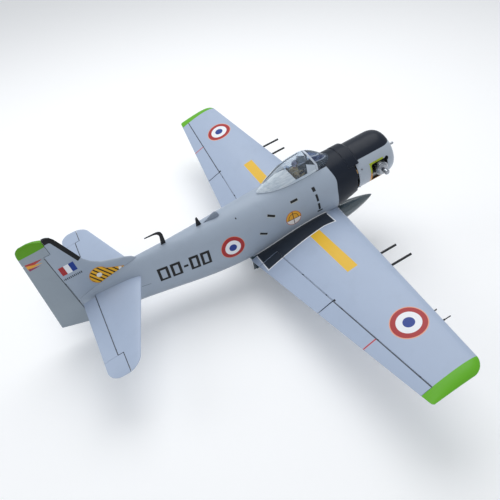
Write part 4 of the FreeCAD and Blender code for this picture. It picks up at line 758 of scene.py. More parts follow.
def dial_material():
    mat = Material("dial_faces", "#101113")
    mat.paint(0.0, "#101113")
    for i, (dial_y, dial_z, radius) in enumerate(DIALS):
        y, z = mat.y - dial_y, mat.z - dial_z
        away = mat.distance(y, z)
        tick = mat.math("ARCTAN2", y, z).pingpong(math.pi / 12)
        ticks = (away.above(radius * 0.66, soft=0.1) * away.below(radius * 0.88, soft=0.1)
                 * tick.below(0.05, soft=0.04))
        mat.paint(ticks, "#e9e6d8")
        angle = 0.6 + 1.7 * i
        along = y * math.sin(angle) + z * math.cos(angle)
        across = abs(y * math.cos(angle) - z * math.sin(angle))
        hand = (across.below(0.22, soft=0.12) * along.above(-0.8, soft=0.2)
                * along.below(radius * 0.62, soft=0.2) * away.below(radius, soft=0.1))
        mat.paint(hand, "#f0ede2")
    return mat.finish(rough=0.2, coat=0.6, tint=0.02, tint_size=6, grain=0.4, bump=0.0,
                      edge=0.0, dirt=0.05)


FUSELAGE = fuselage_material()
MACHINED = mottled("machined_alloy", "#aeb2b8", "#93989f", rough=0.2, metal=1.0, tint_size=14,
                   grain=0.5, bump=0.02, wear=0.4, wear_colour="#f0f2f5", edge=0.5, dirt=0.18)
NYLON = mottled("black_nylon", "#1b1d20", "#24272b", rough=0.5, tint_size=20, grain=0.8,
                bump=0.05, wear=0.3, wear_colour="#55585c", edge=0.5)
# made for black fittings, though no piece wears it
mottled("fitting_black", "#16181b", "#22252a", rough=0.36, tint_size=20, grain=0.7,
        wear=0.4, wear_colour="#6a6e73", edge=0.5)

# material, and the CAD pieces that wear it
FINISHES = [
    (wing_material("wing_film"), "wing_panel_left wing_panel_right"),
    (wing_material("aileron_film", tip=False, band=False, walk=False),
     "aileron_left aileron_right"),
    (wing_material("flap_film", tip=False, band=False, roundel=False), "flap_left flap_right"),
    (stabiliser_material(), "stabiliser_left stabiliser_right elevator_left elevator_right"),
    (FUSELAGE, "fuselage_shell tank_pylon"),
    (fin_material(), "fin"),
    (rudder_material(), "rudder"),
    (cowl_material(), "cowl"),
    (wood_material(), "fuselage_formers equipment_tray firewall wing_ribs"),
    (mottled("cast_alloy", "#a9acb0", "#8d9196", rough=0.42, metal=0.9, tint=0.06, tint_size=20,
             grain=0.9, bump=0.06, wear=0.5, wear_colour="#dfe2e6", edge=0.8),
     "crankcase carburettor muffler"),
    (MACHINED, "engine_standoffs cylinder spark_plug retract_frames propeller_shaft "
               "gear_trunnion_left gear_trunnion_right gear_strut_left gear_strut_right "
               "wheel_hub_left wheel_hub_right"),
    (mottled("steel", "#8e9196", "#74787e", rough=0.3, metal=1.0, tint_size=12, grain=0.5,
             bump=0.02, wear=0.3, edge=0.4),
     "cowl_screws hinge_pins elevator_joiner tailwheel_fork"),
    (mottled("blued_steel", "#1a1b1e", "#26282c", rough=0.38, metal=0.35, tint=0.06,
             tint_size=16, grain=0.7, wear=0.5, wear_colour="#777b80", edge=0.5),
     "gun_barrels pitot_tube tailwheel_bracket"),
    (carbon_material(), "wing_joiner_tube stabiliser_tube"),
    (mottled("drop_tank_gloss", "#4a585e", "#43525a", blotch=60.0, rough=0.16, coat=0.9,
             tint=0.03, tint_size=70, grain=1.0, bump=0.006, wave=0.05, wear=0.3,
             wear_colour="#8c979c", edge=0.8, coat_rough=0.03, dirt=0.04), "drop_tank"),
    (mottled("tyre_rubber", "#1b1b1c", "#242425", blotch=9.0, rough=0.72, tint=0.06,
             tint_size=25, grain=0.7, bump=0.12, wear=0.5, wear_colour="#4a4a48", edge=0.8,
             spec=0.3, dirt=0.3), "tyre_left tyre_right tailwheel"),
    (NYLON, "receiver servos wing_bolts hinge_leaves"),
    (mottled("cockpit_paint", "#4b5350", "#3f4644", rough=0.55, tint=0.06, tint_size=25,
             grain=0.8, bump=0.05, wear=0.5, wear_colour="#a5a8a3", edge=0.6, dirt=0.25),
     "cockpit_tub instrument_panel pilot_figure"),
    (mottled("milky_poly", "#dcdccf", "#cfcfbe", tint=0.03, tint_size=30, grain=1.0, bump=0.02,
             wear=0.1, edge=0.5), "fuel_tank"),
    (mottled("battery_wrap", "#2f4f8a", "#2a477d", rough=0.3, coat=0.4, tint=0.04, tint_size=30,
             grain=1.0, bump=0.02, wear=0.2, edge=0.6), "battery_pack"),
    (canopy_material(), "canopy_frame"),
    (arch_material(), "windscreen_frame"),
    (antenna_material(), "antennas"),
    (glass_material("clear_canopy", "#f0f4f8", film=0.07, marks=canopy_marks), "canopy_glass"),
    (glass_material("clear_windscreen", "#dfe6ee", film=0.06, marks=windscreen_marks),
     "windscreen_glass"),
]
for material, names in FINISHES:
    for name in names.split():
        mesh = NODES[name].data
        mesh.materials.clear()
        mesh.materials.append(material)
        for polygon in mesh.polygons:
            polygon.material_index = 0

JACKET = cloth("flight_jacket_cloth", "#c4ad82", "#a88d62")
TROUSERS = cloth("flight_trouser_cloth", "#8d7f5e", "#6f6447")
VEST = cloth("life_vest_cloth", "#d6c08a", "#bda36b", fold=0.5)
HELMET = mottled("helmet_shell_paint", "#8a86a0", "#77738e", rough=0.3, coat=0.5, tint_size=10,
                 grain=0.5, bump=0.01, wear=0.5, wear_colour="#d8d6de", edge=0.4)
VISOR = mottled("smoked_visor", "#1c1a20", "#232028", rough=0.08, coat=0.9, tint=0.02,
                tint_size=10, grain=0.4, bump=0.0, wear=0.2, edge=0.3, coat_rough=0.02)
LEATHER = cloth("glove_leather", "#4a3526", "#38281c", fold=0.2, rough=0.5)
WEBBING = cloth("harness_webbing", "#cfc6ae", "#b5aa8c", fold=0.1)
SEAT_PAD = cloth("seat_pad_canvas", "#5f4c34", "#4a3a27", fold=0.25)
FACE = face_material()
EYE = eye_material()
DIAL = dial_material()
BEZEL = mottled("dial_bezel", "#2a2c2e", "#1e2022", metal=0.4, tint=0.04, tint_size=6, grain=0.4,
                bump=0.02, wear=0.6, wear_colour="#8c8f92", edge=0.25)
CONSOLE = mottled("console_paint", "#3d4441", "#323836", rough=0.55, tint_size=14, grain=0.5,
                  bump=0.05, wear=0.6, wear_colour="#9a9c96", edge=0.4)
GLARESHIELD = cloth("glareshield_vinyl", "#cfc0ab", "#b3a28d", fold=0.15, rough=0.6)


# ------------------------------------------------------------------ mesh building
def surface_of(name):
    """Ray-castable copy of a CAD piece in the drawing frame."""
    mesh = NODES[name].data
    return BVHTree.FromPolygons([to_drawing(v.co) for v in mesh.vertices],
                                [list(p.vertices) for p in mesh.polygons])


def circle(count):
    """Cosine and sine of evenly spaced angles round a circle."""
    return [(math.cos(2 * math.pi * k / count), math.sin(2 * math.pi * k / count))
            for k in range(count)]


def signed_power(value, exponent):
    return math.copysign(abs(value) ** exponent, value)


def smooth_step(start, end, value):
    share = max(0.0, min(1.0, (value - start) / (end - start)))
    return share * share * (3 - 2 * share)


def loft(rings, caps=True, wrap=True):
    """Vertices and faces of a skin over rings with equal point counts."""
    count = len(rings[0])
    verts = [tuple(p) for ring in rings for p in ring]
    faces = []
    for i in range(len(rings) - 1):
        for j in range(count if wrap else count - 1):
            a, b = i * count + j, i * count + (j + 1) % count
            faces.append((a, b, b + count, a + count))
    if caps:
        faces.append(tuple(range(count))[::-1])
        faces.append(tuple(range((len(rings) - 1) * count, len(rings) * count)))
    return verts, faces


def merge(*parts):
    verts, faces = [], []
    for part_verts, part_faces in parts:
        start = len(verts)
        verts += part_verts
        faces += [tuple(start + i for i in face) for face in part_faces]
    return verts, faces


def path_direction(points, i):
    return (points[min(i + 1, len(points) - 1)] - points[max(i - 1, 0)]).normalized()


def tube(path, radii, count=14, flat=1.0):
    """Round or flattened tube along a path, with domed ends."""
    points = [Vector(p) for p in path]
    if not isinstance(radii, list):
        radii = [radii] * len(points)
    rings, side = [], None
    for i, point in enumerate(points):
        along = path_direction(points, i)
        if side is None:
            up = Vector((0, 0, 1))
            if abs(up.dot(along)) > 0.9:
                up = Vector((0, 1, 0))
            side = along.cross(up).normalized()
        side = (side - along * side.dot(along)).normalized()
        other = along.cross(side).normalized()
        rings.append([point + side * (radii[i] * cos) + other * (radii[i] * flat * sin)
                      for cos, sin in circle(count)])

    def dome(i, outward):
        return [[points[i] + (p - points[i]) * math.sqrt(1 - rise * rise)
                 + outward.normalized() * (radii[i] * rise) for p in rings[i]]
                for rise in (0.35, 0.65, 0.88)]
    start, end = dome(0, points[0] - points[1]), dome(-1, points[-1] - points[-2])
    return loft(start[::-1] + rings + end)


def blob(centre, radii, power=2.0, around=28, rows=18, pitch=0.0, reshape=None):
    """Superellipsoid, optionally reshaped and then pitched about the y axis."""
    rings = []
    cos_pitch, sin_pitch = math.cos(pitch), math.sin(pitch)
    limit = math.pi / 2 - 0.02
    for i in range(rows + 1):
        latitude = max(min(-math.pi / 2 + math.pi * i / rows, limit), -limit)
        level = signed_power(math.cos(latitude), 2.0 / power)
        ring = []
        for cos, sin in circle(around):
            x = radii[0] * level * signed_power(cos, 2.0 / power)
            y = radii[1] * level * signed_power(sin, 2.0 / power)
            z = radii[2] * signed_power(math.sin(latitude), 2.0 / power)
            if reshape:
                x, y, z = reshape(x, y, z)
            ring.append((centre[0] + x * cos_pitch + z * sin_pitch, centre[1] + y,
                         centre[2] - x * sin_pitch + z * cos_pitch))
        rings.append(ring)
    return loft(rings)


def turned_up(x, y, profile, count):
    """Solid turned about an upright axis; the profile's columns are z and radius."""
    return loft([[(x + radius * cos, y + radius * sin, z) for cos, sin in circle(count)]
                 for z, radius in profile])


def slab(x0, x1, y0, y1, z0, z1):
    verts = [(x, y, z) for z in (z0, z1) for x, y in ((x0, y0), (x1, y0), (x1, y1), (x0, y1))]
    return verts, [(0, 1, 2, 3), (4, 7, 6, 5), (0, 4, 5, 1), (1, 5, 6, 2), (2, 6, 7, 3),
                   (3, 7, 4, 0)]


def ribbon(path, normals, width, thickness):
    rings = []
    points = [Vector(p) for p in path]
    for i, point in enumerate(points):
        along = path_direction(points, i)
        normal = Vector(normals[i])
        normal = (normal - along * normal.dot(along)).normalized()
        half_wide = along.cross(normal) * width / 2
        half_thick = normal * thickness / 2
        rings.append([point + half_wide + half_thick, point - half_wide + half_thick,
                      point - half_wide - half_thick, point + half_wide - half_thick])
    return loft(rings)


def cap_shape(centre, radii, inside, around=96, rows=60):
    """Part of an ellipsoid whose faces pass inside(latitude, longitude), in degrees."""
    verts, faces = [], []
    limit = math.pi / 2 - 0.01
    for i in range(rows + 1):
        latitude = max(min(-math.pi / 2 + math.pi * i / rows, limit), -limit)
        for cos, sin in circle(around):
            verts.append((centre[0] + radii[0] * math.cos(latitude) * cos,
                          centre[1] + radii[1] * math.cos(latitude) * sin,
                          centre[2] + radii[2] * math.sin(latitude)))
    for i in range(rows):
        latitude = -90.0 + 180.0 * (i + 0.5) / rows
        for j in range(around):
            longitude = (360.0 * (j + 0.5) / around + 180.0) % 360.0 - 180.0
            if inside(latitude, longitude):
                a, b = i * around + j, i * around + (j + 1) % around
                faces.append((a, b, b + around, a + around))
    used = sorted({k for face in faces for k in face})
    index = {k: i for i, k in enumerate(used)}
    return [verts[k] for k in used], [tuple(index[k] for k in face) for face in faces]


def piece(name, shape, material, subsurf=0, solid=0.0, bevel=0.0, smooth=True):
    """Add a drawing-frame shape to the airframe; solid and bevel are in millimetres."""
    mesh = bpy.data.meshes.new(name)
    mesh.from_pydata([to_world(*v) for v in shape[0]], [], shape[1])
    mesh.update()
    editor = bmesh.new()
    editor.from_mesh(mesh)
    bmesh.ops.recalc_face_normals(editor, faces=editor.faces)
    editor.to_mesh(mesh)
    editor.free()
    mesh.polygons.foreach_set("use_smooth", [smooth] * len(mesh.polygons))
    made = bpy.data.objects.new(name, mesh)
    bpy.context.scene.collection.objects.link(made)
    mesh.materials.append(material)
    if solid:
        modifier = made.modifiers.new("thick", "SOLIDIFY")
        modifier.thickness, modifier.offset = solid / 1000.0, -1.0
    if bevel:
        modifier = made.modifiers.new("round", "BEVEL")
        modifier.width, modifier.segments = bevel / 1000.0, 3
        modifier.limit_method, modifier.angle_limit = "ANGLE", 0.6
    if subsurf:
        modifier = made.modifiers.new("smooth", "SUBSURF")
        modifier.levels = modifier.render_levels = subsurf
    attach(made, "airframe")
    return made


# ------------------------------------------------------------------ pilot's head and helmet
HEAD_RADII = (9.4, 7.7, 11.6)
# swells and hollows of the face: depth, then z and its spread, |y| and its spread
FACE_RELIEF = [
    (0.65, 2.7, 1.2, 2.6, 2.4),       # brow
    (-1.15, 1.0, 1.25, EYE_Y, 1.6),   # eye sockets
    (0.55, -2.75, 0.65, 1.25, 0.6),   # nostrils
    (0.70, -4.75, 0.55, 0.0, 2.3),    # upper lip
    (0.78, -5.85, 0.6, 0.0, 1.9),     # lower lip
    (-0.35, -5.25, 0.22, 0.0, 2.1),   # between the lips
    (-0.25, -7.0, 0.6, 0.0, 2.0),     # under the lower lip
    (0.95, -8.9, 1.6, 0.0, 2.4),      # chin
    (0.45, -1.3, 1.8, 4.4, 1.7),      # cheekbones
]
HELMET_CENTRE = HEAD + Vector((-1.2, 0.0, 2.0))
HELMET_OPEN, HELMET_BROW = 62, 24  # face opening: half width and top edge, degrees
# ear cup: distance off the centreline, radius
EAR_CUP = [(8.6, 3.6), (9.4, 4.6), (11.2, 4.9), (12.3, 4.5), (12.9, 3.2), (13.1, 0.6)]


def by_head(x, y, z):
    return HEAD + Vector((x, y, z))


def face_depth(y, z):
    """How far the face stands out from the plain head at this place."""
    depth = 0.0
    for amount, mid_z, spread_z, mid_y, spread_y in FACE_RELIEF:
        depth += amount * math.exp(-((z - mid_z) / spread_z) ** 2
                                   - ((abs(y) - mid_y) / spread_y) ** 2)
    nose = smooth_step(2.6, -2.2, z) * smooth_step(-3.7, -2.7, z)
    return depth + ((0.4 + 2.3 * nose) * math.exp(-(y / (0.75 + 0.5 * nose)) ** 2)
                    * smooth_step(3.4, 1.6, z) * smooth_step(-3.9, -2.8, z))


def head_shape(around=112, rows=84):
    rings = []
    for i in range(rows + 1):
        latitude = -math.pi / 2 + 0.03 + (math.pi - 0.06) * i / rows
        ring = []
        for cos, sin in circle(around):
            forward = math.cos(latitude) * cos
            x = HEAD_RADII[0] * forward
            y = HEAD_RADII[1] * math.cos(latitude) * sin
            z = HEAD_RADII[2] * math.sin(latitude)
            jaw = smooth_step(-2.0, -11.0, z)
            y *= 1.0 - 0.30 * jaw
            x = x * (1.0 - 0.10 * jaw) + (0.8 * jaw if x > 0 else 1.6 * jaw)
            if forward > 0:
                x += face_depth(y, z) * smooth_step(0.0, 0.35, forward)
            ring.append(by_head(x, y, z))
        rings.append(ring)
    return loft(rings)


def add_head():
    head = piece("pilot_head", head_shape(), FACE)
    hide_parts("pilot_figure")
    eyes = [blob(by_head(7.05, s * EYE_Y, EYE_RISE), (1.35, 1.35, 1.25), around=24, rows=16)
            for s in (1, -1)]
    piece("pilot_eyes", merge(*eyes), EYE)
    lids = []
    for s in (1, -1):
        for lift in (0.62, -0.62):
            path = [by_head(8.05 - 0.09 * q * q, s * EYE_Y + q * 1.35,
                            EYE_RISE + lift * (1 - 0.55 * q * q))
                    for q in (-1.1, -0.7, -0.3, 0.0, 0.3, 0.7, 1.1)]
            lids.append(tube(path, [0.14, 0.2, 0.24, 0.25, 0.24, 0.2, 0.14], count=10))
    piece("pilot_eyelids", merge(*lids), FACE)


def add_helmet():
    shell = cap_shape(HELMET_CENTRE, (12.6, 11.0, 13.4), lambda latitude, longitude:
                      latitude > (-34 if abs(longitude) > HELMET_OPEN else HELMET_BROW))
    piece("pilot_helmet", shell, HELMET, solid=1.1)
    visor = cap_shape(HELMET_CENTRE, (13.5, 11.9, 14.2), lambda latitude, longitude:
                      abs(longitude) < 66 and 14 < latitude < 50)
    piece("pilot_visor", visor, VISOR, solid=0.7)


def add_ear_cups():
    """Ear cups, with the rim over the face opening."""
    brow = math.radians(HELMET_BROW)
    rim = [HELMET_CENTRE + Vector((12.4 * math.cos(brow) * math.cos(math.radians(t)),
                                   10.9 * math.cos(brow) * math.sin(math.radians(t)),
                                   13.3 * math.sin(brow)))
           for t in range(-HELMET_OPEN, HELMET_OPEN + 1, 8)]
    cups = [loft([[by_head(-0.6 + radius * cos, s * y, -0.8 + 1.15 * radius * sin)
                   for cos, sin in circle(24)] for y, radius in EAR_CUP]) for s in (1, -1)]
    piece("pilot_ear_cups", merge(tube(rim, 0.75, count=10), *cups), LEATHER)


def add_chin_strap():
    """Chin strap, with the microphone and its boom on the right."""
    strap = []
    for t in range(0, 181, 12):
        cos, sin = math.cos(math.radians(t)), math.sin(math.radians(t))
        strap.append(by_head(0.6 + 6.75 * sin, 7.6 * cos, -4.0 - 8.4 * sin))
    boom = [by_head(1.5, -12.2, -3.0), by_head(6.0, -10.2, -5.6), by_head(10.2, -5.6, -6.6),
            by_head(11.6, -2.0, -6.4)]
    microphone = blob(by_head(11.7, -1.2, -6.4), (0.8, 1.4, 0.8), around=16, rows=10)
    piece("pilot_chin_strap", merge(tube(strap, 0.75, count=10, flat=0.5),
                                    tube(boom, 0.35, count=8), microphone),
          LEATHER)


# ------------------------------------------------------------------ pilot's body
# torso stations: z, middle x, half depth, half width
TORSO = [(119, -78, 12, 16.5), (126, -78, 13.5, 18), (134, -77.5, 13, 18), (143, -77, 11.8, 16.8),
         (152, -76.5, 12.2, 17.8), (161, -76, 13, 20), (169, -75.3, 13.2, 21.6),
         (176, -74.5, 12.2, 21.4), (182, -73.3, 10.0, 17.5), (187, -71.5, 7.4, 11.0),
         (191, -69.0, 5.6, 6.6), (197, -66.5, 5.0, 5.0)]
TORSO_POWER = 2.35
LAP_Z = 137
# leg stations: x, |y|, z, radius
LEG = [(-80, 9, 130.5, 7.2), (-66, 9.8, 133, 7.2), (-50, 10.5, 135, 6.8), (-38, 10.8, 134, 6.2),
       (-29, 10.6, 130, 5.4), (-22, 10.2, 125, 4.6), (-17, 9.8, 122, 4.0)]


def torso_at(z):
    """Middle x, half depth and half width of the torso at a height."""
    for low, high in zip(TORSO, TORSO[1:]):
        if low[0] <= z <= high[0]:
            share = (z - low[0]) / (high[0] - low[0])
            return [low[i] + (high[i] - low[i]) * share for i in range(1, 4)]


def chest_x(y, z, least):
    """Just in front of the chest; least stops it falling back past the torso's side."""
    middle, depth, width = torso_at(z)
    return middle + depth * max(least, 1 - (y / width) ** TORSO_POWER) ** (1 / TORSO_POWER) + 1.0


def torso_ring(z, count=40):
    middle, depth, width = torso_at(z)
    ring = []
    for k in range(count):
        t = 2 * math.pi * k / count
        cos, sin = math.cos(t), math.sin(t)
        crease = (1.0 + 0.018 * math.sin(z * 0.9 + 2.3 * math.sin(3 * t))
                  + 0.012 * math.sin(z * 1.7 + 5 * t))
        chest = 1.0 + 0.05 * max(0.0, cos) * math.exp(-((z - 166) / 9.0) ** 2)
        ring.append((middle + depth * crease * chest * signed_power(cos, 2 / TORSO_POWER),
                     width * crease * signed_power(sin, 2 / TORSO_POWER), z))
    return ring


def add_torso():
    rings = [torso_ring(TORSO[0][0] + i * 1.5) for i in range(46)]
    piece("pilot_torso", loft(rings), JACKET, subsurf=1)
    neck = tube([(-69.5, 0, 188), (-67.5, 0, 194), (-65.5, 0, 199)], [5.0, 4.7, 4.6], count=20)
    piece("pilot_neck", neck, FACE)


def add_life_vest():
    collar = []
    for i in range(36):
        t = 2 * math.pi * i / 36
        collar.append((-69.0 + 8.6 * math.cos(t), 8.4 * math.sin(t),
                       189.0 - 2.2 * math.cos(t) + 0.3 * math.sin(5 * t)))
    collar.append(collar[0])
    lobes = []
    for s in (1, -1):
        path = []
        for i in range(9):
            y, z = 6.5 + 2.6 * math.sin(i * 0.5), 188 - i * 4.6
            path.append((chest_x(y, z, least=0.05), s * y, z))
        lobes.append(tube(path, [2.2, 3.0, 3.4, 3.6, 3.7, 3.6, 3.4, 2.9, 2.0], count=16))
    piece("pilot_life_vest", merge(tube(collar, 2.5), *lobes), VEST, subsurf=1)


def glove(s, hand, along):
    """Palm, four fingers and a thumb."""
    palm = hand + along * 2.6
    parts = [blob(palm, (4.2, 2.9, 3.1), power=2.3, around=24, rows=16)]
    for k in range(4):
        root = palm + Vector((2.4, s * -1.6, 1.7 - k * 1.25))
        parts.append(tube([root, root + Vector((1.8, s * -0.3, -0.2)),
                           root + Vector((1.7, s * 1.5, -0.4))], 0.85, count=10))
    thumb = [palm + Vector(p) for p in ((-1.0, s * -1.8, 1.8), (0.9, s * -2.3, 2.7),
                                        (2.3, s * -1.4, 2.9))]
    return parts + [tube(thumb, 0.9, count=10)]


def add_limbs():
    arms, gloves, legs = [], [], []
    for s, hand in ((1, Vector((-33.0, 19.0, 146.5))), (-1, Vector((-38.5, -2.0, 149.0)))):
        shoulder, elbow = Vector((-74.0, s * 19.0, 175.5)), Vector((-64.0, s * 21.2, 149.5))
        path = [shoulder, shoulder.lerp(elbow, 0.3) + Vector((1.0, s * 0.8, 0)),
                shoulder.lerp(elbow, 0.65) + Vector((0.5, s * 0.6, 0)), elbow,
                elbow.lerp(hand, 0.3), elbow.lerp(hand, 0.65), hand]
        arms.append(tube(path, [5.6, 5.3, 4.8, 4.6, 4.3, 3.8, 3.3], count=18))
        gloves += glove(s, hand, (hand - elbow).normalized())
        legs.append(tube([(x, s * y, z) for x, y, z, _ in LEG], [row[3] for row in LEG],
                         count=18))
    piece("pilot_arms", merge(*arms), JACKET, subsurf=1)
    piece("pilot_gloves", merge(*gloves), LEATHER, subsurf=1)
    piece("pilot_legs", merge(*legs), TROUSERS, subsurf=1)


def add_harness():
    belts = []
    for s in (1, -1):
        path = [(-88.0, s * 12.0, 181.0), (-80.0, s * 13.0, 185.5), (-73.0, s * 13.4, 186.2)]
        normals = [(-0.3, 0, 1), (0, 0, 1), (0.25, s * 0.2, 1)]
        for i in range(22):
            y, z = 13.5 - 10.5 * (i / 21.0) ** 0.8, 184.0 - i * 2.2
            path.append((chest_x(y, z, least=0.02), s * y, z))
            normals.append((1.0, s * 0.35, 0.15 if i > 3 else 0.9))
        belts.append(ribbon(path, normals, width=3.4, thickness=0.7))
    middle, depth, width = torso_at(LAP_Z)
    path, normals = [], []
    for i in range(19):
        t = math.radians(-100 + 200 * i / 18)
        cos, sin = math.cos(t), math.sin(t)
        path.append((middle + (depth + 0.9) * signed_power(cos, 0.85),
                     (width + 0.9) * signed_power(sin, 0.85), LAP_Z))
        normals.append((cos, sin, 0))
    belts.append(ribbon(path, normals, width=3.6, thickness=0.7))
    piece("pilot_harness", merge(*belts), WEBBING, smooth=False)
    buckle = blob((middle + depth + 1.8, 0, LAP_Z + 0.5), (1.0, 3.0, 3.0), power=3.0,
                  around=24, rows=14)
    piece("harness_buckle", buckle, MACHINED)


# ------------------------------------------------------------------ cockpit
FLOOR_Z = 117.7
CONSOLE_Y = (19.5, 26.3)  # inner and outer faces
STICK_X = -36.0
# stick gaiter: z, radius
GAITER = [(FLOOR_Z, 6), (119, 5.6), (120, 4.4), (121.2, 4.7), (122.2, 3.4), (123.4, 3.7),
          (124.4, 2.4), (125.5, 1.3)]
# console knob: z, radius
KNOB = [(140.9, 1.7), (142.0, 1.7), (142.3, 1.2), (143.6, 1.1), (143.9, 0.7)]
# bezel section: x, radius beyond the dial's; and face rings as shares of the face's radius
BEZEL_SECTION = [(8.2, 0.1), (7.2, 0.1), (6.7, -0.25), (6.8, -0.55), (7.6, -0.6), (8.2, -0.6)]
DIAL_FACE_X, DIAL_FACE_INSET = 7.7, 0.5


def cushion(centre, radii, pitch=0.0):
    """Pad with a crown and two lengthwise grooves."""
    def reshape(x, y, z):
        crown = (1 - min(1.0, abs(x / radii[0])) ** 2) * (1 - min(1.0, abs(y / radii[1])) ** 2)
        groove = 0.09 * math.exp(-((abs(y) - radii[1] * 0.34) / 0.7) ** 2)
        return x, y, z * (1 + 0.18 * crown - (groove if z > 0 else 0))
    return blob(centre, radii, power=4.5, around=56, rows=28, pitch=pitch, reshape=reshape)


def add_seat():
    piece("seat_cushion", cushion((-75.0, 0, 127.6), (15.5, 16.0, 2.9)), SEAT_PAD)
    back = cushion((-93.6, 0, 152.0), (26.0, 16.0, 2.3), pitch=math.radians(-100))
    piece("seat_back_cushion", back, SEAT_PAD)
    rest = cushion((-96.5, 0, 196.0), (8.0, 9.0, 3.2), pitch=math.radians(-98))
    posts = [tube([(-101, y, 176), (-100, y, 196)], 1.1) for y in (5.5, -5.5)]
    piece("seat_headrest", merge(rest, *posts), SEAT_PAD)


def add_stick():
    stick = tube([(STICK_X, 0, FLOOR_Z + 0.1), (STICK_X, 0, 130), (-35.5, 0, 143)], 1.0, count=12)
    grip = blob((-35.2, 0.2, 148.5), (2.0, 1.9, 6.5), power=2.4, around=22, rows=16,
                pitch=math.radians(8))
    piece("control_stick", merge(stick, grip, turned_up(STICK_X, 0, GAITER, count=24)),
          NYLON)


def add_consoles():
    inner, outer = CONSOLE_Y
    for s, side in SIDES:
        y0, y1 = sorted((s * inner, s * outer))
        piece("side_console_" + side, slab(-22.0, 4.5, y0, y1, FLOOR_Z, 141.0),
              CONSOLE, bevel=0.9, smooth=False)
        knobs = [turned_up(-18.5 + i * 5.0, s * (inner + outer) / 2, KNOB, count=18)
                 for i in range(5)]
        piece("console_knobs_" + side, merge(*knobs), NYLON)


def add_throttle():
    lever = tube([(-30.0, 19.0, 132.0), (-31.0, 19.0, 145.0)], 0.8, count=10)
    knob = blob((-31.0, 18.6, 146.8), (1.9, 2.6, 1.9), around=18, rows=12)
    base = slab(-38, -23, 17.6, CONSOLE_Y[1], FLOOR_Z, 132.5)
    piece("throttle_lever", merge(lever, knob, base), NYLON)


def add_dials():
    bezels, faces = [], []
    for y, z, radius in DIALS:
        def ring(x, ring_radius):
            return [(x, y + ring_radius * cos, z + ring_radius * sin) for cos, sin in circle(32)]
        bezels.append(loft([ring(x, radius + extra) for x, extra in BEZEL_SECTION], caps=False))
        face = radius - DIAL_FACE_INSET
        faces.append(loft([ring(DIAL_FACE_X, r) for r in (face, face * 0.5, 0.05)], caps=False))
    piece("dial_bezels", merge(*bezels), BEZEL)
    piece("dial_faces", merge(*faces), DIAL)


def add_glareshield():
    rows = []
    for i in range(13):
        share = i / 12.0
        half = 26.0 * (1 - 0.52 * share ** 1.5)
        row = []
        for j in range(17):
            across = -1 + 2 * j / 16.0
            arch = 4.6 * (1 - abs(across) ** 3.0) * (1 - 0.35 * share)
            ripple = 0.12 * math.sin(i * 2.0 + j)
            row.append((11.5 + 46.0 * share, half * across, 164.6 + arch + ripple))
        rows.append(row)
    piece("glareshield", loft(rows, caps=False, wrap=False), GLARESHIELD,
          solid=1.0, subsurf=1)


# ------------------------------------------------------------------ pieces fitted to the CAD
def add_baffle():
    """Cooling baffle: two ring-shaped sheets that reach out to the inside of the cowl."""
    cowl = surface_of("cowl")

    def sheet(x, inner_radius, dish):
        centre = Vector((x, 0, COWL_AXIS_Z))
        outer, middle, inner = [], [], []
        for cos, sin in circle(120):
            outward = Vector((0, cos, sin))
            hit = cowl.ray_cast(centre + outward * 30.0, outward)[0]
            radius = 90.0 if hit is None else (hit - centre).length - 0.6
            rim = centre + outward * min(radius, 96.0)
            lip = centre + outward * inner_radius + Vector((dish, 0, 0))
            outer.append(rim)
            middle.append((rim + lip) / 2 + Vector((0.6, 0, 0)))
            inner.append(lip)
        return [outer, middle, inner]

    front = sheet(266.5, inner_radius=47.0, dish=2.0)
    back = sheet(264.6, inner_radius=46.0, dish=-2.0)
    piece("cowl_baffle", loft(front + back[::-1] + front[:1], caps=False), NYLON)


SHELL = surface_of("fuselage_shell")


def shell_y(x, z, s):
    """Distance from the centreline to the fuselage side, or None where there is no side."""
    hit = SHELL.ray_cast(Vector((x, s * 120.0, z)), Vector((0, -s, 0)))[0]
    return abs(hit.y) if hit is not None and abs(hit.y) > 1.0 else None


def wing_z(wing, x, y):
    hit = wing.ray_cast(Vector((x, y, 200.0)), Vector((0, 0, -1)))[0]
    return None if hit is None else hit.z


def add_fillets():
    """Curved strips from the fuselage side down onto the wing, from front to back."""
    paint = fillet_material()
    steps = 11  # points across the strip
    for s, side in SIDES:
        wing = surface_of("wing_panel_" + side)
        rows = []
        for i in range(56):
            x = -6.0 - i * 5.9
            root_z = wing_z(wing, x, s * 98.0)
            if root_z is None:
                continue
            fade = smooth_step(0, 5, i) * smooth_step(55, 49, i)
            top_z = root_z + 1.0 + 9.0 * fade
            top_y = shell_y(x, top_z, s)
            low_y = shell_y(x, root_z + 1.0, s)
            if top_y is None or low_y is None or not 40 < low_y < 96:
                continue
            outer_y = min(low_y + 1.5 + 9.0 * fade, 103.0)
            outer_z = wing_z(wing, x, s * outer_y)
            if outer_z is None:
                outer_z = root_z
            top = Vector((x, s * (top_y - 0.25), top_z))
            corner = Vector((x, s * (low_y + 0.6), outer_z + 0.6))
            outer = Vector((x, s * outer_y, outer_z - 0.15))
            rows.append([top * (1 - k) ** 2 + corner * (2 * k * (1 - k)) + outer * k ** 2
                         for k in [j / 10.0 for j in range(steps)]])
        fillet = piece("wing_root_fillet_" + side, loft(rows, caps=False, wrap=False),
                       paint)
        across = fillet.data.attributes.new("across", "FLOAT", "POINT")
        across.data.foreach_set("value", [(k % steps) / 10.0 for k in range(len(rows) * steps)])


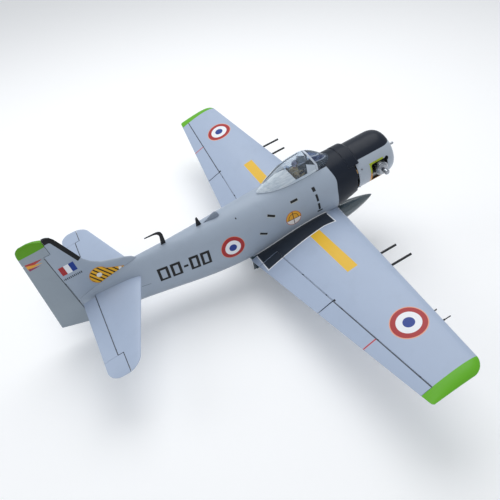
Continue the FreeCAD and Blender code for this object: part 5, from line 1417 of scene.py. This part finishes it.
def add_slot_seals():
    """Rubber seals over the elevator rod slots in the tail."""
    low_z, high_z = 105.0, 131.0
    columns = [-896.5 + i * (31.0 / 16) for i in range(17)]
    heights = [104.0 + j * 2.0 for j in range(15)]
    for s, side in SIDES:
        low = [shell_y(x, low_z, s) for x in columns]
        high = [shell_y(x, high_z, s) for x in columns]
        # a seal is made only where the shell was met all along it
        if None in low + high:
            continue
        grid = []
        for x, low_y, high_y in zip(columns, low, high):
            shares = [(z - low_z) / (high_z - low_z) for z in heights]
            grid.append([(x, s * (low_y * (1 - k) + high_y * k + 0.28), z)
                         for k, z in zip(shares, heights)])
        piece("elevator_slot_seal_" + side, loft(grid, caps=False, wrap=False),
              FUSELAGE, solid=0.45)


for add in (add_head, add_helmet, add_ear_cups, add_chin_strap, add_torso, add_life_vest,
            add_limbs, add_harness, add_seat, add_stick, add_consoles, add_throttle, add_dials,
            add_glareshield, add_baffle, add_fillets, add_slot_seals):
    add()


# ------------------------------------------------------------------ stage, lights, camera
# camera in the drawing frame: unit vectors to its right, up and backwards, then its place
CAMERA_RIGHT = (0.86297, -0.44247, -0.24395)
CAMERA_UP = (0.47817, 0.55922, 0.67724)
CAMERA_BACK = (-0.16324, -0.70108, 0.69416)
CAMERA_PLACE = (-649.9, -1408.3, 1334.0)
SENSOR_WIDTH, LENS = 36.0, 38.1744


def add_floor():
    editor = bmesh.new()
    bmesh.ops.create_grid(editor, x_segments=2, y_segments=2, size=30.0)
    mesh = bpy.data.meshes.new("studio_floor")
    editor.to_mesh(mesh)
    editor.free()
    floor = bpy.data.objects.new("studio_floor", mesh)
    bpy.context.scene.collection.objects.link(floor)
    mat = Material("studio_floor_paint")
    for key, value in (("Base Color", (0.93, 0.935, 0.94, 1)), ("Emission Color", (1, 1, 1, 1)),
                       ("Emission Strength", 0.07),
                       ("Roughness", mat.noise(400.0).scaled(gain=0.1, offset=0.75))):
        mat.put(mat.shader.inputs[key], value)
    mesh.materials.append(mat.material)


def add_world():
    world = bpy.data.worlds.new("studio")
    bpy.context.scene.world = world
    world.use_nodes = True
    tree = world.node_tree
    tree.nodes.clear()
    output = tree.nodes.new("ShaderNodeOutputWorld")
    background = tree.nodes.new("ShaderNodeBackground")
    background.inputs["Color"].default_value = (0.93, 0.96, 1.0, 1)
    background.inputs["Strength"].default_value = 0.60
    tree.links.new(background.outputs[0], output.inputs[0])


def add_light(name, place, size, power, colour=(1, 1, 1)):
    """Rectangular light aimed at the model, in world metres and watts."""
    data = bpy.data.lights.new(name, "AREA")
    data.shape, data.size, data.size_y = "RECTANGLE", size[0], size[1]
    data.energy, data.color = power, colour
    light = bpy.data.objects.new(name, data)
    bpy.context.scene.collection.objects.link(light)
    light.location = place
    light.rotation_mode = "QUATERNION"
    aim = Vector((0, 0, 0.2)) - Vector(place)
    light.rotation_quaternion = aim.to_track_quat("-Z", "Y")


def add_camera():
    data = bpy.data.cameras.new("camera")
    data.sensor_fit, data.sensor_width, data.lens = "HORIZONTAL", SENSOR_WIDTH, LENS
    data.clip_start, data.clip_end = 0.05, 60.0
    camera = bpy.data.objects.new("camera", data)
    bpy.context.scene.collection.objects.link(camera)
    axes = [turn_to_world(*axis) for axis in (CAMERA_RIGHT, CAMERA_UP, CAMERA_BACK)]
    columns = [axis.to_4d() for axis in axes] + [to_world(*CAMERA_PLACE).to_4d()]
    for column in columns[:3]:
        column.w = 0.0
    camera.matrix_world = Matrix(columns).transposed()
    bpy.context.scene.camera = camera


add_floor()
add_world()
add_light("key_softbox", place=(0.6, 1.2, 3.2), size=(3.0, 3.0), power=62.0)
add_light("rear_softbox", place=(-2.4, 1.6, 2.2), size=(1.6, 1.2), power=12.0,
          colour=(0.94, 0.97, 1.0))
add_light("fill_card", place=(0.6, -3.0, 1.6), size=(2.2, 1.2), power=4.0,
          colour=(1.0, 0.99, 0.97))
add_camera()
bpy.context.scene.view_settings.view_transform = "Standard"
